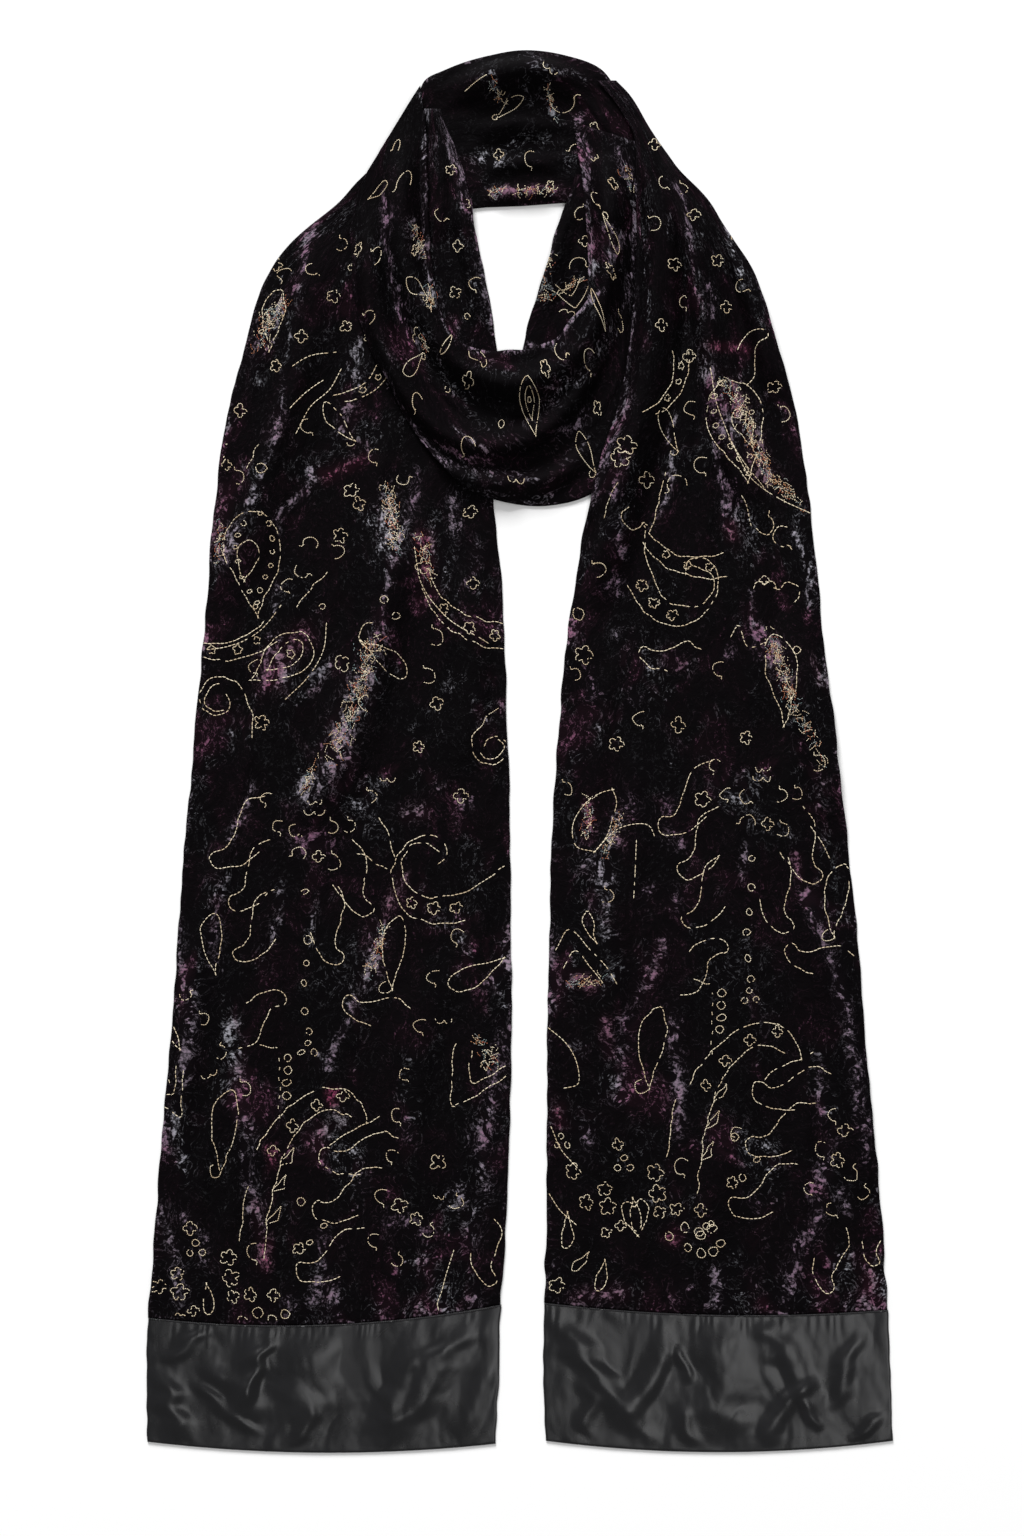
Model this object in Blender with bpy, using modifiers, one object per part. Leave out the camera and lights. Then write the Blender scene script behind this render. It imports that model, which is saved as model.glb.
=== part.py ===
"""Long velvet scarf with satin ends, wound once and laid flat on a table."""
import math
from collections import namedtuple

import bmesh
import bpy
import numpy as np

# Driving sizes in millimetres: x across the laid scarf, y along it, z up
MM = 0.001
VELVET_WALL = 2.4
SATIN_WALL = 1.6
SEAM_GAP = 0.3
REST_GAP = 0.5
REST_MARGIN = 5.0
REST_SLOPE = 16.0
SLOPE_ALLOWANCE = 1.15
FOLD_FADE = 58.0
CENTRE_X = -0.15
CENTRE_Y = 1.0
LINE_STEPS = 8
LEAST_COLUMN = 0.35

# A cross line of a stretch: where its two edges are, and how far its middle sags towards -y
Section = namedtuple("Section", "left_x left_y right_x right_y sag")

# A soft ridge: its crest line, the width of each flank as one walks the line, its height, and
# whether a row of the cloth's grid follows its crest
Fold = namedtuple("Fold", "line left right rise guide", defaults=(False,))


def level(y, left_x, right_x):
    """A cross line that runs straight across at one y."""
    return Section(left_x, y, right_x, y, 0.0)


# Left tail, from its satin seam up to the left side of the neck
TAIL_LEFT_SECTIONS = (
    Section(-238.2, -362.2, -12.3, -353.9, 8.6),
    Section(-234.7, -321.0, -9.8, -316.0, 5.0),
    level(-255, -229.9, -7.2),
    level(-191, -224.2, -5.6),
    level(-127, -219.0, -5.3),
    level(-63, -214.6, -5.9),
    level(-6, -209.4, -7.2),
    level(45, -205.0, -8.8),
    level(97, -199.8, -11.0),
    level(135, -197.9, -14.2),
    level(161, -194.7, -16.8),
    level(186, -192.2, -16.2),
    level(212, -187.7, -14.9),
    level(237, -181.9, -14.2),
    level(260, -175.8, -15.2),
    level(289, -167.8, -19.4),
    level(314, -155.7, -24.5),
    level(327, -144.8, -27.0),
    level(340, -129.4, -29.3),
    level(349, -118.3, -30.2),
    level(365, -103.2, -34.1),
    level(381, -88.6, -39.8),
    level(397, -77.0, -45.6),
    level(411, -70.6, -51.4),
)
TAIL_LEFT_FOLDS = (
    Fold(((-194, 90), (-165, 186), (-147, 250), (-129, 345)), 9, 34, 8, True),
    Fold(((-138, -66), (-112, 20), (-89, 97), (-78, 172)), 22, 30, 9, True),
    Fold(((-161, -345), (-174, -249), (-188, -205)), 10, 16, 4),
    Fold(((-213, -262), (-211, -170), (-190, -45)), 10, 18, 4),
    Fold(((-60, -330), (-70, -220), (-48, -120)), 26, 20, 4),
    Fold(((-40, -40), (-30, 50), (-34, 140)), 24, 16, 5),
    Fold(((-20, 258), (-27, 300), (-40, 365)), 12, 6, 6),
)

# Right tail, from its satin seam up over the right shoulder
TAIL_RIGHT_SECTIONS = (
    Section(15.8, -352.6, 235.4, -357.1, 5.5),
    Section(16.5, -317.0, 232.8, -319.0, 3.0),
    level(-255, 17.1, 227.7),
    level(-191, 17.8, 221.9),
    level(-127, 18.7, 216.8),
    level(-63, 20.3, 210.4),
    level(-6, 23.5, 204.0),
    level(45, 27.4, 197.9),
    level(97, 33.8, 191.8),
    level(122, 37.6, 189.3),
    level(148, 42.1, 186.7),
    level(173, 47.8, 183.5),
    level(199, 55.5, 179.7),
    level(225, 63.5, 174.6),
    level(259, 69.9, 165.3),
    level(291, 72.8, 155.7),
    level(314, 73.8, 145.1),
    level(327, 74.1, 136.2),
    level(340, 74.4, 128.5),
    level(353, 74.7, 120.8),
    level(365, 74.7, 108.6),
    level(381, 74.1, 94.6),
    level(396, 71.8, 84.3),
    level(406, 66.5, 78.6),
    level(419, 57.7, 70.9),
    level(429, 49.0, 61.5),
)
TAIL_RIGHT_FOLDS = (
    Fold(((47, 85), (66, 180), (81, 250), (87, 345), (74, 404)), 13, 22, 13, True),
    Fold(((150, 130), (130, 205), (114, 290), (92, 386)), 9, 26, 10, True),
    Fold(((166, 205), (147, 290), (124, 350)), 9, 20, 8, True),
    Fold(((203, -70), (188, 10), (164, 96)), 16, 24, 6, True),
    Fold(((224, -310), (209, -170), (178, -79)), 20, 9, 4),
    Fold(((62, -300), (48, -180), (60, -60)), 16, 26, 4),
    Fold(((120, -330), (138, -200), (118, -60)), 24, 30, 3),
)

# Back of the neck, an arch over the opening, from left to right
NECK_BACK_SECTIONS = (
    Section(-67.0, 416.6, -50.7, 345.0, 0.0),
    Section(-61.0, 428.8, -39.2, 346.2, 0.0),
    Section(-48.8, 435.8, -25.1, 347.8, 0.0),
    Section(-20.6, 445.1, -10.4, 348.5, 0.0),
    Section(3.7, 448.8, 3.7, 349.1, 0.0),
    Section(29.3, 445.4, 16.5, 350.1, 0.0),
    Section(53.0, 435.8, 29.9, 351.0, 0.0),
    Section(64.0, 420.0, 43.5, 351.4, 0.0),
    Section(72.0, 409.0, 53.0, 351.0, 0.0),
    Section(80.0, 396.0, 62.0, 351.0, 0.0),
)
NECK_BACK_FOLDS = (
    Fold(((-52, 412), (-24, 430), (4, 436), (30, 431), (50, 420)), 12, 19, 15, True),
    Fold(((-32, 392), (-6, 400), (26, 396)), 10, 12, 6, True),
    Fold(((-26, 372), (4, 377), (32, 373)), 7, 8, 4, True),
    Fold(((-30, 355), (4, 358), (32, 357)), 5, 7, 5),
)

# Inner strip on the right of the opening, from the back of the neck down under the cowl
NECK_SIDE_SECTIONS = (
    level(369, 35.7, 58.1),
    level(359, 32.5, 59.4),
    level(349, 28.3, 60.6),
    level(340, 25.1, 61.3),
    level(327, 21.3, 61.9),
    level(314, 17.8, 61.9),
    level(301, 13.9, 60.6),
    level(289, 10.1, 56.8),
    level(276, 5.6, 50.4),
    level(260, 2.4, 42.1),
    level(247, 1.1, 33.8),
)
NECK_SIDE_FOLDS = (
    Fold(((33, 352), (24, 322), (10, 275)), 13, 5, 6, True),
)

# Cowl, the loop in front: inner edge and outer edge, from the left roll round to the right
COWL_SECTIONS = (
    Section(-64, 426, -98, 371, 0),
    Section(-61, 410, -104, 356, 0),
    Section(-59, 388, -108, 337, 0),
    Section(-59, 362, -108, 316, 0),
    Section(-58, 337, -106, 290, 0),
    Section(-55, 305, -98, 263, 0),
    Section(-49, 277, -84, 236, 0),
    Section(-42, 264, -70, 209, 0),
    Section(-32, 259, -53, 186, 0),
    Section(-19, 256, -34, 168, 0),
    Section(-7, 257, -12, 160, 0),
    Section(4, 257, 15, 157, 0),
    Section(15, 261, 42, 163, 0),
    Section(23, 264, 59, 173, 0),
    Section(33, 277, 73, 191, 0),
    Section(43, 289, 82, 215, 0),
    Section(44, 308, 88, 244, 0),
    Section(43, 330, 91, 276, 0),
    Section(41, 353, 91, 311, 0),
    Section(38, 375, 89, 346, 0),
    Section(36, 390, 86, 368, 0),
    Section(37, 402, 81, 388, 0),
)
COWL_FOLDS = (
    Fold(((-76, 407), (-75, 353), (-71, 308), (-58, 273), (-32, 243), (-3, 235), (28, 247),
          (47, 272), (56, 308), (57, 352), (54, 394)), 13, 15, 15, True),
    Fold(((-94, 359), (-97, 320), (-92, 270), (-70, 225), (-47, 202), (-18, 194), (11, 202),
          (32, 222), (48, 247), (60, 270)), 18, 9, 11, True),
    Fold(((-80, 213), (-60, 189), (-35, 176), (-9, 171), (17, 174), (38, 190), (52, 212)),
         9, 10, 7, True),
)

# Hidden layers gathered under the cowl: centre line, half width and height of each section
Core = namedtuple("Core", "x y half_width height")
CORE_BASE = 3.2
CORE_SECTIONS = (
    Core(-74, 330, 5.0, 4.5),
    Core(-70, 303, 8.0, 8.5),
    Core(-58, 273, 8.0, 8.5),
    Core(-32, 243, 8.5, 8.5),
    Core(-3, 235, 8.5, 8.5),
    Core(28, 247, 8.0, 8.5),
    Core(47, 272, 7.5, 8.5),
    Core(57, 304, 7.0, 7.5),
    Core(59, 325, 5.0, 4.5),
)

# Satin end bands, from seam to bottom edge
BAND_LEFT_SECTIONS = (
    Section(-238.2, -362.2, -12.3, -353.9, 8.6),
    Section(-239.0, -402.0, -13.4, -398.0, 7.6),
    Section(-238.2, -441.6, -15.5, -442.9, 6.4),
)
BAND_RIGHT_SECTIONS = (
    Section(15.8, -352.6, 235.4, -357.1, 5.5),
    Section(15.2, -397.0, 237.6, -399.0, 6.4),
    Section(16.5, -441.0, 238.6, -441.0, 7.3),
)
BAND_LEFT_FOLDS = (
    Fold(((-185, -435), (-172, -400), (-168, -366)), 12, 9, 2.4),
    Fold(((-90, -440), (-78, -405), (-60, -368)), 14, 10, 2.0),
)
BAND_RIGHT_FOLDS = (
    Fold(((60, -432), (86, -400), (96, -364)), 14, 10, 2.4),
    Fold(((196, -436), (178, -402), (168, -366)), 10, 14, 2.4),
)

# Finishes
VELVET = {"color": (0.020, 0.013, 0.019, 1.0), "roughness": 0.82}
VELVET_INNER = {"color": (0.016, 0.011, 0.016, 1.0), "roughness": 0.85}
SATIN = {"color": (0.022, 0.022, 0.025, 1.0), "roughness": 0.38}


def smooth_step(value):
    """Rise from 0 to 1 with level ends."""
    t = np.clip(value, 0.0, 1.0)
    return t * t * (3.0 - 2.0 * t)


def through(rows, count):
    """Points spaced evenly on a smooth curve through the rows, measured at their middle."""
    rows = np.array(rows, dtype=float)
    pairs = rows[:, :4] if rows.shape[1] >= 4 else np.hstack([rows[:, :2], rows[:, :2]])
    middle = 0.5 * (pairs[:, 0:2] + pairs[:, 2:4])
    steps = np.linalg.norm(np.diff(middle, axis=0), axis=1)
    run = np.concatenate([[0.0], np.cumsum(steps)])
    slope = np.gradient(rows, run, axis=0)
    at = np.linspace(0.0, run[-1], count)
    low = np.clip(np.searchsorted(run, at, side="right") - 1, 0, len(run) - 2)
    span = (run[low + 1] - run[low])[:, None]
    t = ((at - run[low]) / span[:, 0])[:, None]
    start = rows[low] * (2 * t**3 - 3 * t**2 + 1) + slope[low] * span * (t**3 - 2 * t**2 + t)
    finish = rows[low + 1] * (3 * t**2 - 2 * t**3) + slope[low + 1] * span * (t**3 - t**2)
    return start + finish


def nearest(x, y, line):
    """Distance to a line, its side (+1 left), how far along it is, 0 to 1, and its length."""
    start = line[:-1]
    step = line[1:] - start
    length = np.linalg.norm(step, axis=1)
    run = np.concatenate([[0.0], np.cumsum(length)])
    away_x = x[:, None] - start[None, :, 0]
    away_y = y[:, None] - start[None, :, 1]
    t = (away_x * step[:, 0] + away_y * step[:, 1]) / length**2
    t = np.clip(t, 0.0, 1.0)
    gap_x = away_x - t * step[:, 0]
    gap_y = away_y - t * step[:, 1]
    distance = np.hypot(gap_x, gap_y)
    best = np.argmin(distance, axis=1)
    row = np.arange(len(x))
    side = np.sign(step[best, 0] * gap_y[row, best] - step[best, 1] * gap_x[row, best])
    along = (run[best] + t[row, best] * length[best]) / run[-1]
    return distance[row, best], side, along, run[-1]


def crest_across(rows, line):
    """Where a crest line crosses each row of a stretch, 0 at its left edge and 1 at its right."""
    start = rows[:, 0:2]
    step = rows[:, 2:4] - start
    numbers = []
    places = []
    for point in line:
        t = np.sum((point - start) * step, axis=1) / np.sum(step**2, axis=1)
        t = np.clip(t, 0.03, 0.97)
        best = int(np.argmin(np.linalg.norm(start + step * t[:, None] - point, axis=1)))
        numbers.append(best)
        places.append(t[best])
    order = np.argsort(numbers, kind="stable")
    return np.interp(range(len(rows)), np.array(numbers)[order], np.array(places)[order])


def ridge(x, y, fold):
    """Height of one soft fold over the points."""
    line = through(fold.line, LINE_STEPS * len(fold.line))
    distance, side, along, length = nearest(x, y, line)
    fade = min(FOLD_FADE / length, 0.36)
    flank = np.where(side >= 0.0, fold.left, fold.right)
    bell = 0.5 + 0.5 * np.cos(math.pi * np.clip(distance / flank, 0.0, 1.0))
    ends = smooth_step(along / fade) * smooth_step((1.0 - along) / fade)
    return fold.rise * bell * ends


def inside_distance(x, y, loop):
    """Distance to a closed outline, more than zero inside it."""
    closed = np.vstack([loop, loop[:1]])
    distance = nearest(x, y, closed)[0]
    x1, y1 = closed[:-1, 0], closed[:-1, 1]
    x2, y2 = closed[1:, 0], closed[1:, 1]
    spans = (y1 > y[:, None]) != (y2 > y[:, None])
    rise = np.where(y2 == y1, 1.0, y2 - y1)
    cross_x = x1 + (y[:, None] - y1) * (x2 - x1) / rise
    crossings = np.sum(spans & (x[:, None] < cross_x), axis=1)
    return np.where(crossings % 2 == 1, distance, -distance)


class Stretch:
    """One stretch of cloth that shows: its plan, its folds and what lies under it."""

    def __init__(self, name, sections, folds, wall, below=()):
        self.name = name
        self.sections = sections
        self.folds = folds
        self.wall = wall
        self.below = below

    def columns(self, rows, across):
        """Where each grid column lies across each row, with columns on the guiding crests."""
        count = len(rows)
        guides = [(0, np.zeros(count)), (across - 1, np.ones(count))]
        for fold in self.folds:
            if fold.guide:
                place = crest_across(rows, through(fold.line, LINE_STEPS * len(fold.line)))
                column = int(round(float(np.mean(place)) * (across - 1)))
                guides.append((min(max(column, 1), across - 2), place))
        guides.sort(key=lambda item: item[0])
        numbers = [item[0] for item in guides]
        places = np.array([item[1] for item in guides])
        least = np.diff(numbers) * LEAST_COLUMN / (across - 1)
        for k in range(1, len(numbers)):
            places[k] = np.maximum(places[k], places[k - 1] + least[k - 1])
        places[-1] = 1.0
        for k in range(len(numbers) - 2, 0, -1):
            places[k] = np.minimum(places[k], places[k + 1] - least[k])
        return np.array([np.interp(range(across), numbers, places[:, row])
                         for row in range(count)])

    def plan(self, along, across):
        """Grid of points seen from above, along the stretch by across it."""
        rows = through(self.sections, along)
        u = self.columns(rows, across)
        x = rows[:, 0:1] * (1 - u) + rows[:, 2:3] * u
        y = rows[:, 1:2] * (1 - u) + rows[:, 3:4] * u
        y = y - rows[:, 4:5] * 4.0 * u * (1.0 - u)
        return x, y

    def outline(self):
        """Closed outline of the plan."""
        x, y = self.plan(48, 8)
        grid = np.stack([x, y], axis=-1)
        return np.vstack([grid[0, :-1], grid[:-1, -1], grid[-1, :0:-1], grid[:0:-1, 0]])

    def underside(self, x, y):
        """Height of the lower face over each point, resting on what lies under it."""
        height = np.zeros_like(x)
        for lower in self.below:
            reach = inside_distance(x, y, lower.outline()) + REST_MARGIN + REST_SLOPE
            cover = smooth_step(reach / REST_SLOPE)
            top = lower.underside(x, y) + lower.wall * SLOPE_ALLOWANCE + REST_GAP
            height = np.maximum(height, top * cover)
        folds = np.zeros_like(x)
        for fold in self.folds:
            folds = np.maximum(folds, ridge(x, y, fold)) + 0.25 * np.minimum(
                folds, ridge(x, y, fold))
        return height + folds


def material(name, finish):
    """Principled material for one sub-part."""
    made = bpy.data.materials.new(name)
    made.use_nodes = True
    shader = made.node_tree.nodes["Principled BSDF"]
    shader.inputs["Base Color"].default_value = finish["color"]
    shader.inputs["Roughness"].default_value = finish["roughness"]
    shader.inputs["Metallic"].default_value = 0.0
    made.diffuse_color = finish["color"]
    return made


def new_object(name, mesh_data, collection, finish):
    """Link a finished mesh as a named object."""
    mesh = bpy.data.meshes.new(name)
    mesh_data.to_mesh(mesh)
    mesh_data.free()
    made = bpy.data.objects.new(name, mesh)
    mesh.materials.append(material(name + "_finish", finish))
    collection.objects.link(made)
    return made


def cloth(stretch, along, across, collection, finish, trim=(0.0, 0.0)):
    """Loft the lower face of a stretch through its sections and give it a wall."""
    x, y = stretch.plan(along, across)
    y[0] = y[0] + trim[0]
    y[-1] = y[-1] - trim[1]
    z = stretch.underside(x.ravel(), y.ravel()).reshape(x.shape)
    data = bmesh.new()
    x = x - CENTRE_X
    y = y - CENTRE_Y
    grid = [[data.verts.new((x[i, j] * MM, y[i, j] * MM, z[i, j] * MM))
             for j in range(across)] for i in range(along)]
    for i in range(along - 1):
        for j in range(across - 1):
            data.faces.new((grid[i][j], grid[i][j + 1], grid[i + 1][j + 1], grid[i + 1][j]))
    data.normal_update()
    middle = list(data.faces)[len(data.faces) // 2]
    if middle.normal.z < 0.0:
        bmesh.ops.reverse_faces(data, faces=list(data.faces))
    made = new_object(stretch.name, data, collection, finish)
    wall = made.modifiers.new("wall", "SOLIDIFY")
    wall.thickness = stretch.wall * MM
    wall.offset = 1.0
    wall.use_even_offset = True
    return made


def gathered_core(name, sections, base, collection, finish, along=26, round_steps=9):
    """Rounded solid of the hidden layers, flat below, lofted along its centre line."""
    rows = through(sections, along) - np.array([CENTRE_X, CENTRE_Y, 0.0, 0.0])
    heading = np.gradient(rows[:, :2], axis=0)
    heading = heading / np.linalg.norm(heading, axis=1)[:, None]
    data = bmesh.new()
    rings = []
    for (x, y, half, height), (dx, dy) in zip(rows, heading):
        ring = []
        for k in range(round_steps):
            angle = math.pi * k / (round_steps - 1)
            aside = half * math.cos(angle)
            up = base + height * (0.12 + 0.88 * math.sin(angle))
            ring.append((x - dy * aside, y + dx * aside, up))
        ring.append((x + dy * half * 0.8, y - dx * half * 0.8, base))
        ring.append((x - dy * half * 0.8, y + dx * half * 0.8, base))
        rings.append([data.verts.new([c * MM for c in point]) for point in ring])
    for first, second in zip(rings[:-1], rings[1:]):
        for k in range(len(first)):
            n = (k + 1) % len(first)
            data.faces.new((first[k], first[n], second[n], second[k]))
    data.faces.new(rings[0])
    data.faces.new(rings[-1][::-1])
    bmesh.ops.recalc_face_normals(data, faces=list(data.faces))
    return new_object(name, data, collection, finish)


def clear_scene():
    """Start from an empty file."""
    for item in list(bpy.data.objects):
        bpy.data.objects.remove(item)


def build():
    """Lay the scarf, lowest stretch first."""
    clear_scene()
    scarf = bpy.data.collections.new("silk_scarf")
    bpy.context.scene.collection.children.link(scarf)
    neck_back = Stretch("neck_back", NECK_BACK_SECTIONS, NECK_BACK_FOLDS, VELVET_WALL)
    tail_left = Stretch("tail_left", TAIL_LEFT_SECTIONS, TAIL_LEFT_FOLDS, VELVET_WALL,
                        below=(neck_back,))
    neck_side = Stretch("neck_side_right", NECK_SIDE_SECTIONS, NECK_SIDE_FOLDS, VELVET_WALL,
                        below=(neck_back,))
    cowl = Stretch("cowl", COWL_SECTIONS, COWL_FOLDS, VELVET_WALL,
                   below=(tail_left, neck_side, neck_back))
    tail_right = Stretch("tail_right", TAIL_RIGHT_SECTIONS, TAIL_RIGHT_FOLDS, VELVET_WALL,
                         below=(cowl, neck_side, neck_back))
    band_left = Stretch("satin_band_left", BAND_LEFT_SECTIONS, BAND_LEFT_FOLDS, SATIN_WALL)
    band_right = Stretch("satin_band_right", BAND_RIGHT_SECTIONS, BAND_RIGHT_FOLDS, SATIN_WALL)
    cloth(neck_back, 21, 14, scarf, VELVET_INNER)
    cloth(tail_left, 60, 19, scarf, VELVET, trim=(SEAM_GAP, 0.0))
    cloth(neck_side, 15, 6, scarf, VELVET_INNER)
    cloth(cowl, 62, 18, scarf, VELVET)
    cloth(tail_right, 62, 19, scarf, VELVET, trim=(SEAM_GAP, 0.0))
    cloth(band_left, 6, 19, scarf, SATIN)
    cloth(band_right, 6, 19, scarf, SATIN)
    gathered_core("hidden_layers", CORE_SECTIONS, CORE_BASE, scarf, VELVET_INNER)


build()
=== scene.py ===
# %% [markdown]
# # A long velvet scarf with satin ends, wound once and laid flat
#
# The real scarf is one long panel of crushed silk velvet with a satin band sewn to each end. It is wound
# once as if round a neck and laid on a white table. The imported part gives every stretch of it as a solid,
# so this lesson only dresses that frame: thin cloth shells, their creases, the pile, the satin and the gold
# thread lines. All sizes are written in millimetres and turned into metres when a mesh is made.

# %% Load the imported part
import math
from collections import namedtuple

import bpy
import numpy as np
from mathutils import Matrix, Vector, kdtree, noise


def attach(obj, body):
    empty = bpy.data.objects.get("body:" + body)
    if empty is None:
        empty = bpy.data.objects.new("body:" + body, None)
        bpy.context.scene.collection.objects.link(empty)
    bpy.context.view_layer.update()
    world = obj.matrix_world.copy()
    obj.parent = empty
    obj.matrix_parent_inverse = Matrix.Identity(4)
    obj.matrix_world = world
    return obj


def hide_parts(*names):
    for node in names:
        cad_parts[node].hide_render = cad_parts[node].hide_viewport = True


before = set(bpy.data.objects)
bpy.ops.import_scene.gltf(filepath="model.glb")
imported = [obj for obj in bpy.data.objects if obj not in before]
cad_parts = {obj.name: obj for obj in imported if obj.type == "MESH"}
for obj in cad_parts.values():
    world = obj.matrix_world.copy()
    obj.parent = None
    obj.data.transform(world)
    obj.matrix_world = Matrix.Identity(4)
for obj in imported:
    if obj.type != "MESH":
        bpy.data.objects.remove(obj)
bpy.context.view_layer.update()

MM = 0.001
print("nodes:", ", ".join(sorted(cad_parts)))

# %% [markdown]
# ## Where the stretches lie
#
# A wound cloth is easiest to describe from above. Each stretch is a strip between a left and a right edge,
# and a short table gives a cross line wherever the strip changes. A smooth curve through the rows gives
# every line between. A mesh modelled by hand could do the same, but a table can be checked against the
# photo and changed in one place.

# %% Cross lines of each stretch, in millimetres
Section = namedtuple("Section", "left_x left_y right_x right_y sag", defaults=(0,))
CENTRE_X, CENTRE_Y = -0.15, 1.0


def named(kind, rows):
    """The rows of a table, with the names of their columns."""
    return tuple(kind(*row) for row in rows)


def level(y, left_x, right_x):
    """A cross line that runs straight across at one y."""
    return Section(left_x, y, right_x, y)


TAIL_LEFT_SECTIONS = named(Section, (
    (-238.2, -362.2, -12.3, -353.9, 8.6),
    (-234.7, -321.0, -9.8, -316.0, 5.0),
    level(-255, -229.9, -7.2),
    level(-191, -224.2, -5.6),
    level(-127, -219.0, -5.3),
    level(-63, -214.6, -5.9),
    level(-6, -209.4, -7.2),
    level(45, -205.0, -8.8),
    level(97, -199.8, -11.0),
    level(135, -197.9, -14.2),
    level(161, -194.7, -16.8),
    level(186, -192.2, -16.2),
    level(212, -187.7, -14.9),
    level(237, -181.9, -14.2),
    level(260, -175.8, -15.2),
    level(289, -167.8, -19.4),
    level(314, -155.7, -24.5),
    level(327, -144.8, -27.0),
    level(340, -129.4, -29.3),
    level(349, -118.3, -30.2),
    level(365, -103.2, -34.1),
    level(381, -88.6, -39.8),
    level(397, -77.0, -45.6),
    level(411, -70.6, -51.4),
))
TAIL_RIGHT_SECTIONS = named(Section, (
    (15.8, -352.6, 235.4, -357.1, 5.5),
    (16.5, -317.0, 232.8, -319.0, 3.0),
    level(-255, 17.1, 227.7),
    level(-191, 17.8, 221.9),
    level(-127, 18.7, 216.8),
    level(-63, 20.3, 210.4),
    level(-6, 23.5, 204.0),
    level(45, 27.4, 197.9),
    level(97, 33.8, 191.8),
    level(122, 37.6, 189.3),
    level(148, 42.1, 186.7),
    level(173, 47.8, 183.5),
    level(199, 55.5, 179.7),
    level(225, 63.5, 174.6),
    level(259, 69.9, 165.3),
    level(291, 72.8, 155.7),
    level(314, 73.8, 145.1),
    level(327, 74.1, 136.2),
    level(340, 74.4, 128.5),
    level(353, 74.7, 120.8),
    level(365, 74.7, 108.6),
    level(381, 74.1, 94.6),
    level(396, 71.8, 84.3),
    level(406, 66.5, 78.6),
    level(419, 57.7, 70.9),
    level(429, 49.0, 61.5),
))
NECK_BACK_SECTIONS = named(Section, (
    (-67.0, 416.6, -50.7, 345.0),
    (-61.0, 428.8, -39.2, 346.2),
    (-48.8, 435.8, -25.1, 347.8),
    (-20.6, 445.1, -10.4, 348.5),
    (3.7, 448.8, 3.7, 349.1),
    (29.3, 445.4, 16.5, 350.1),
    (53.0, 435.8, 29.9, 351.0),
    (64.0, 420.0, 43.5, 351.4),
    (72.0, 409.0, 53.0, 351.0),
    (80.0, 396.0, 62.0, 351.0),
))
NECK_SIDE_SECTIONS = (
    level(369, 35.7, 58.1),
    level(359, 32.5, 59.4),
    level(349, 28.3, 60.6),
    level(340, 25.1, 61.3),
    level(327, 21.3, 61.9),
    level(314, 17.8, 61.9),
    level(301, 13.9, 60.6),
    level(289, 10.1, 56.8),
    level(276, 5.6, 50.4),
    level(260, 2.4, 42.1),
    level(247, 1.1, 33.8),
)
COWL_SECTIONS = named(Section, (
    (-64, 426, -98, 371),
    (-61, 410, -104, 356),
    (-59, 388, -108, 337),
    (-59, 362, -108, 316),
    (-58, 337, -106, 290),
    (-55, 305, -98, 263),
    (-49, 277, -84, 236),
    (-42, 264, -70, 209),
    (-32, 259, -53, 186),
    (-19, 256, -34, 168),
    (-7, 257, -12, 160),
    (4, 257, 15, 157),
    (15, 261, 42, 163),
    (23, 264, 59, 173),
    (33, 277, 73, 191),
    (43, 289, 82, 215),
    (44, 308, 88, 244),
    (43, 330, 91, 276),
    (41, 353, 91, 311),
    (38, 375, 89, 346),
    (36, 390, 86, 368),
    (37, 402, 81, 388),
))
BAND_LEFT_SECTIONS = named(Section, (
    (-238.2, -362.2, -12.3, -353.9, 8.6),
    (-239.0, -402.0, -13.4, -398.0, 7.6),
    (-238.2, -441.6, -15.5, -442.9, 6.4),
))
BAND_RIGHT_SECTIONS = named(Section, (
    (15.8, -352.6, 235.4, -357.1, 5.5),
    (15.2, -397.0, 237.6, -399.0, 6.4),
    (16.5, -441.0, 238.6, -441.0, 7.3),
))
print("cross lines of the tails:", len(TAIL_LEFT_SECTIONS + TAIL_RIGHT_SECTIONS))

# %% [markdown]
# ## The large folds
#
# Velvet is thick and springy, so it folds into rounded ridges. Each large fold is a crest line seen from
# above, with the width of the slope on each side of it and a height. A narrow slope on one side and a wide
# one on the other reads as a pleat that overlaps the cloth beside it.

# %% Large folds: crest line, slope widths to its left and right, height, all in millimetres
Fold = namedtuple("Fold", "line left right rise")
FOLD_FADE, LONGEST_FADE, CROSSING_SHARE = 58.0, 0.36, 0.25
TAIL_LEFT_FOLDS = named(Fold, (
    (((-194, 90), (-165, 186), (-147, 250), (-129, 345)), 9, 34, 8),
    (((-138, -66), (-112, 20), (-89, 97), (-78, 172)), 22, 30, 9),
    (((-161, -345), (-174, -249), (-188, -205)), 10, 16, 4),
    (((-213, -262), (-211, -170), (-190, -45)), 10, 18, 4),
    (((-60, -330), (-70, -220), (-48, -120)), 26, 20, 4),
    (((-40, -40), (-30, 50), (-34, 140)), 24, 16, 5),
    (((-20, 258), (-27, 300), (-40, 365)), 12, 6, 6),
))
TAIL_RIGHT_FOLDS = named(Fold, (
    (((47, 85), (66, 180), (81, 250), (87, 345), (74, 404)), 13, 22, 13),
    (((150, 130), (130, 205), (114, 290), (92, 386)), 9, 26, 10),
    (((166, 205), (147, 290), (124, 350)), 9, 20, 8),
    (((203, -70), (188, 10), (164, 96)), 16, 24, 6),
    (((224, -310), (209, -170), (178, -79)), 20, 9, 4),
    (((62, -300), (48, -180), (60, -60)), 16, 26, 4),
    (((120, -330), (138, -200), (118, -60)), 24, 30, 3),
))
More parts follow.
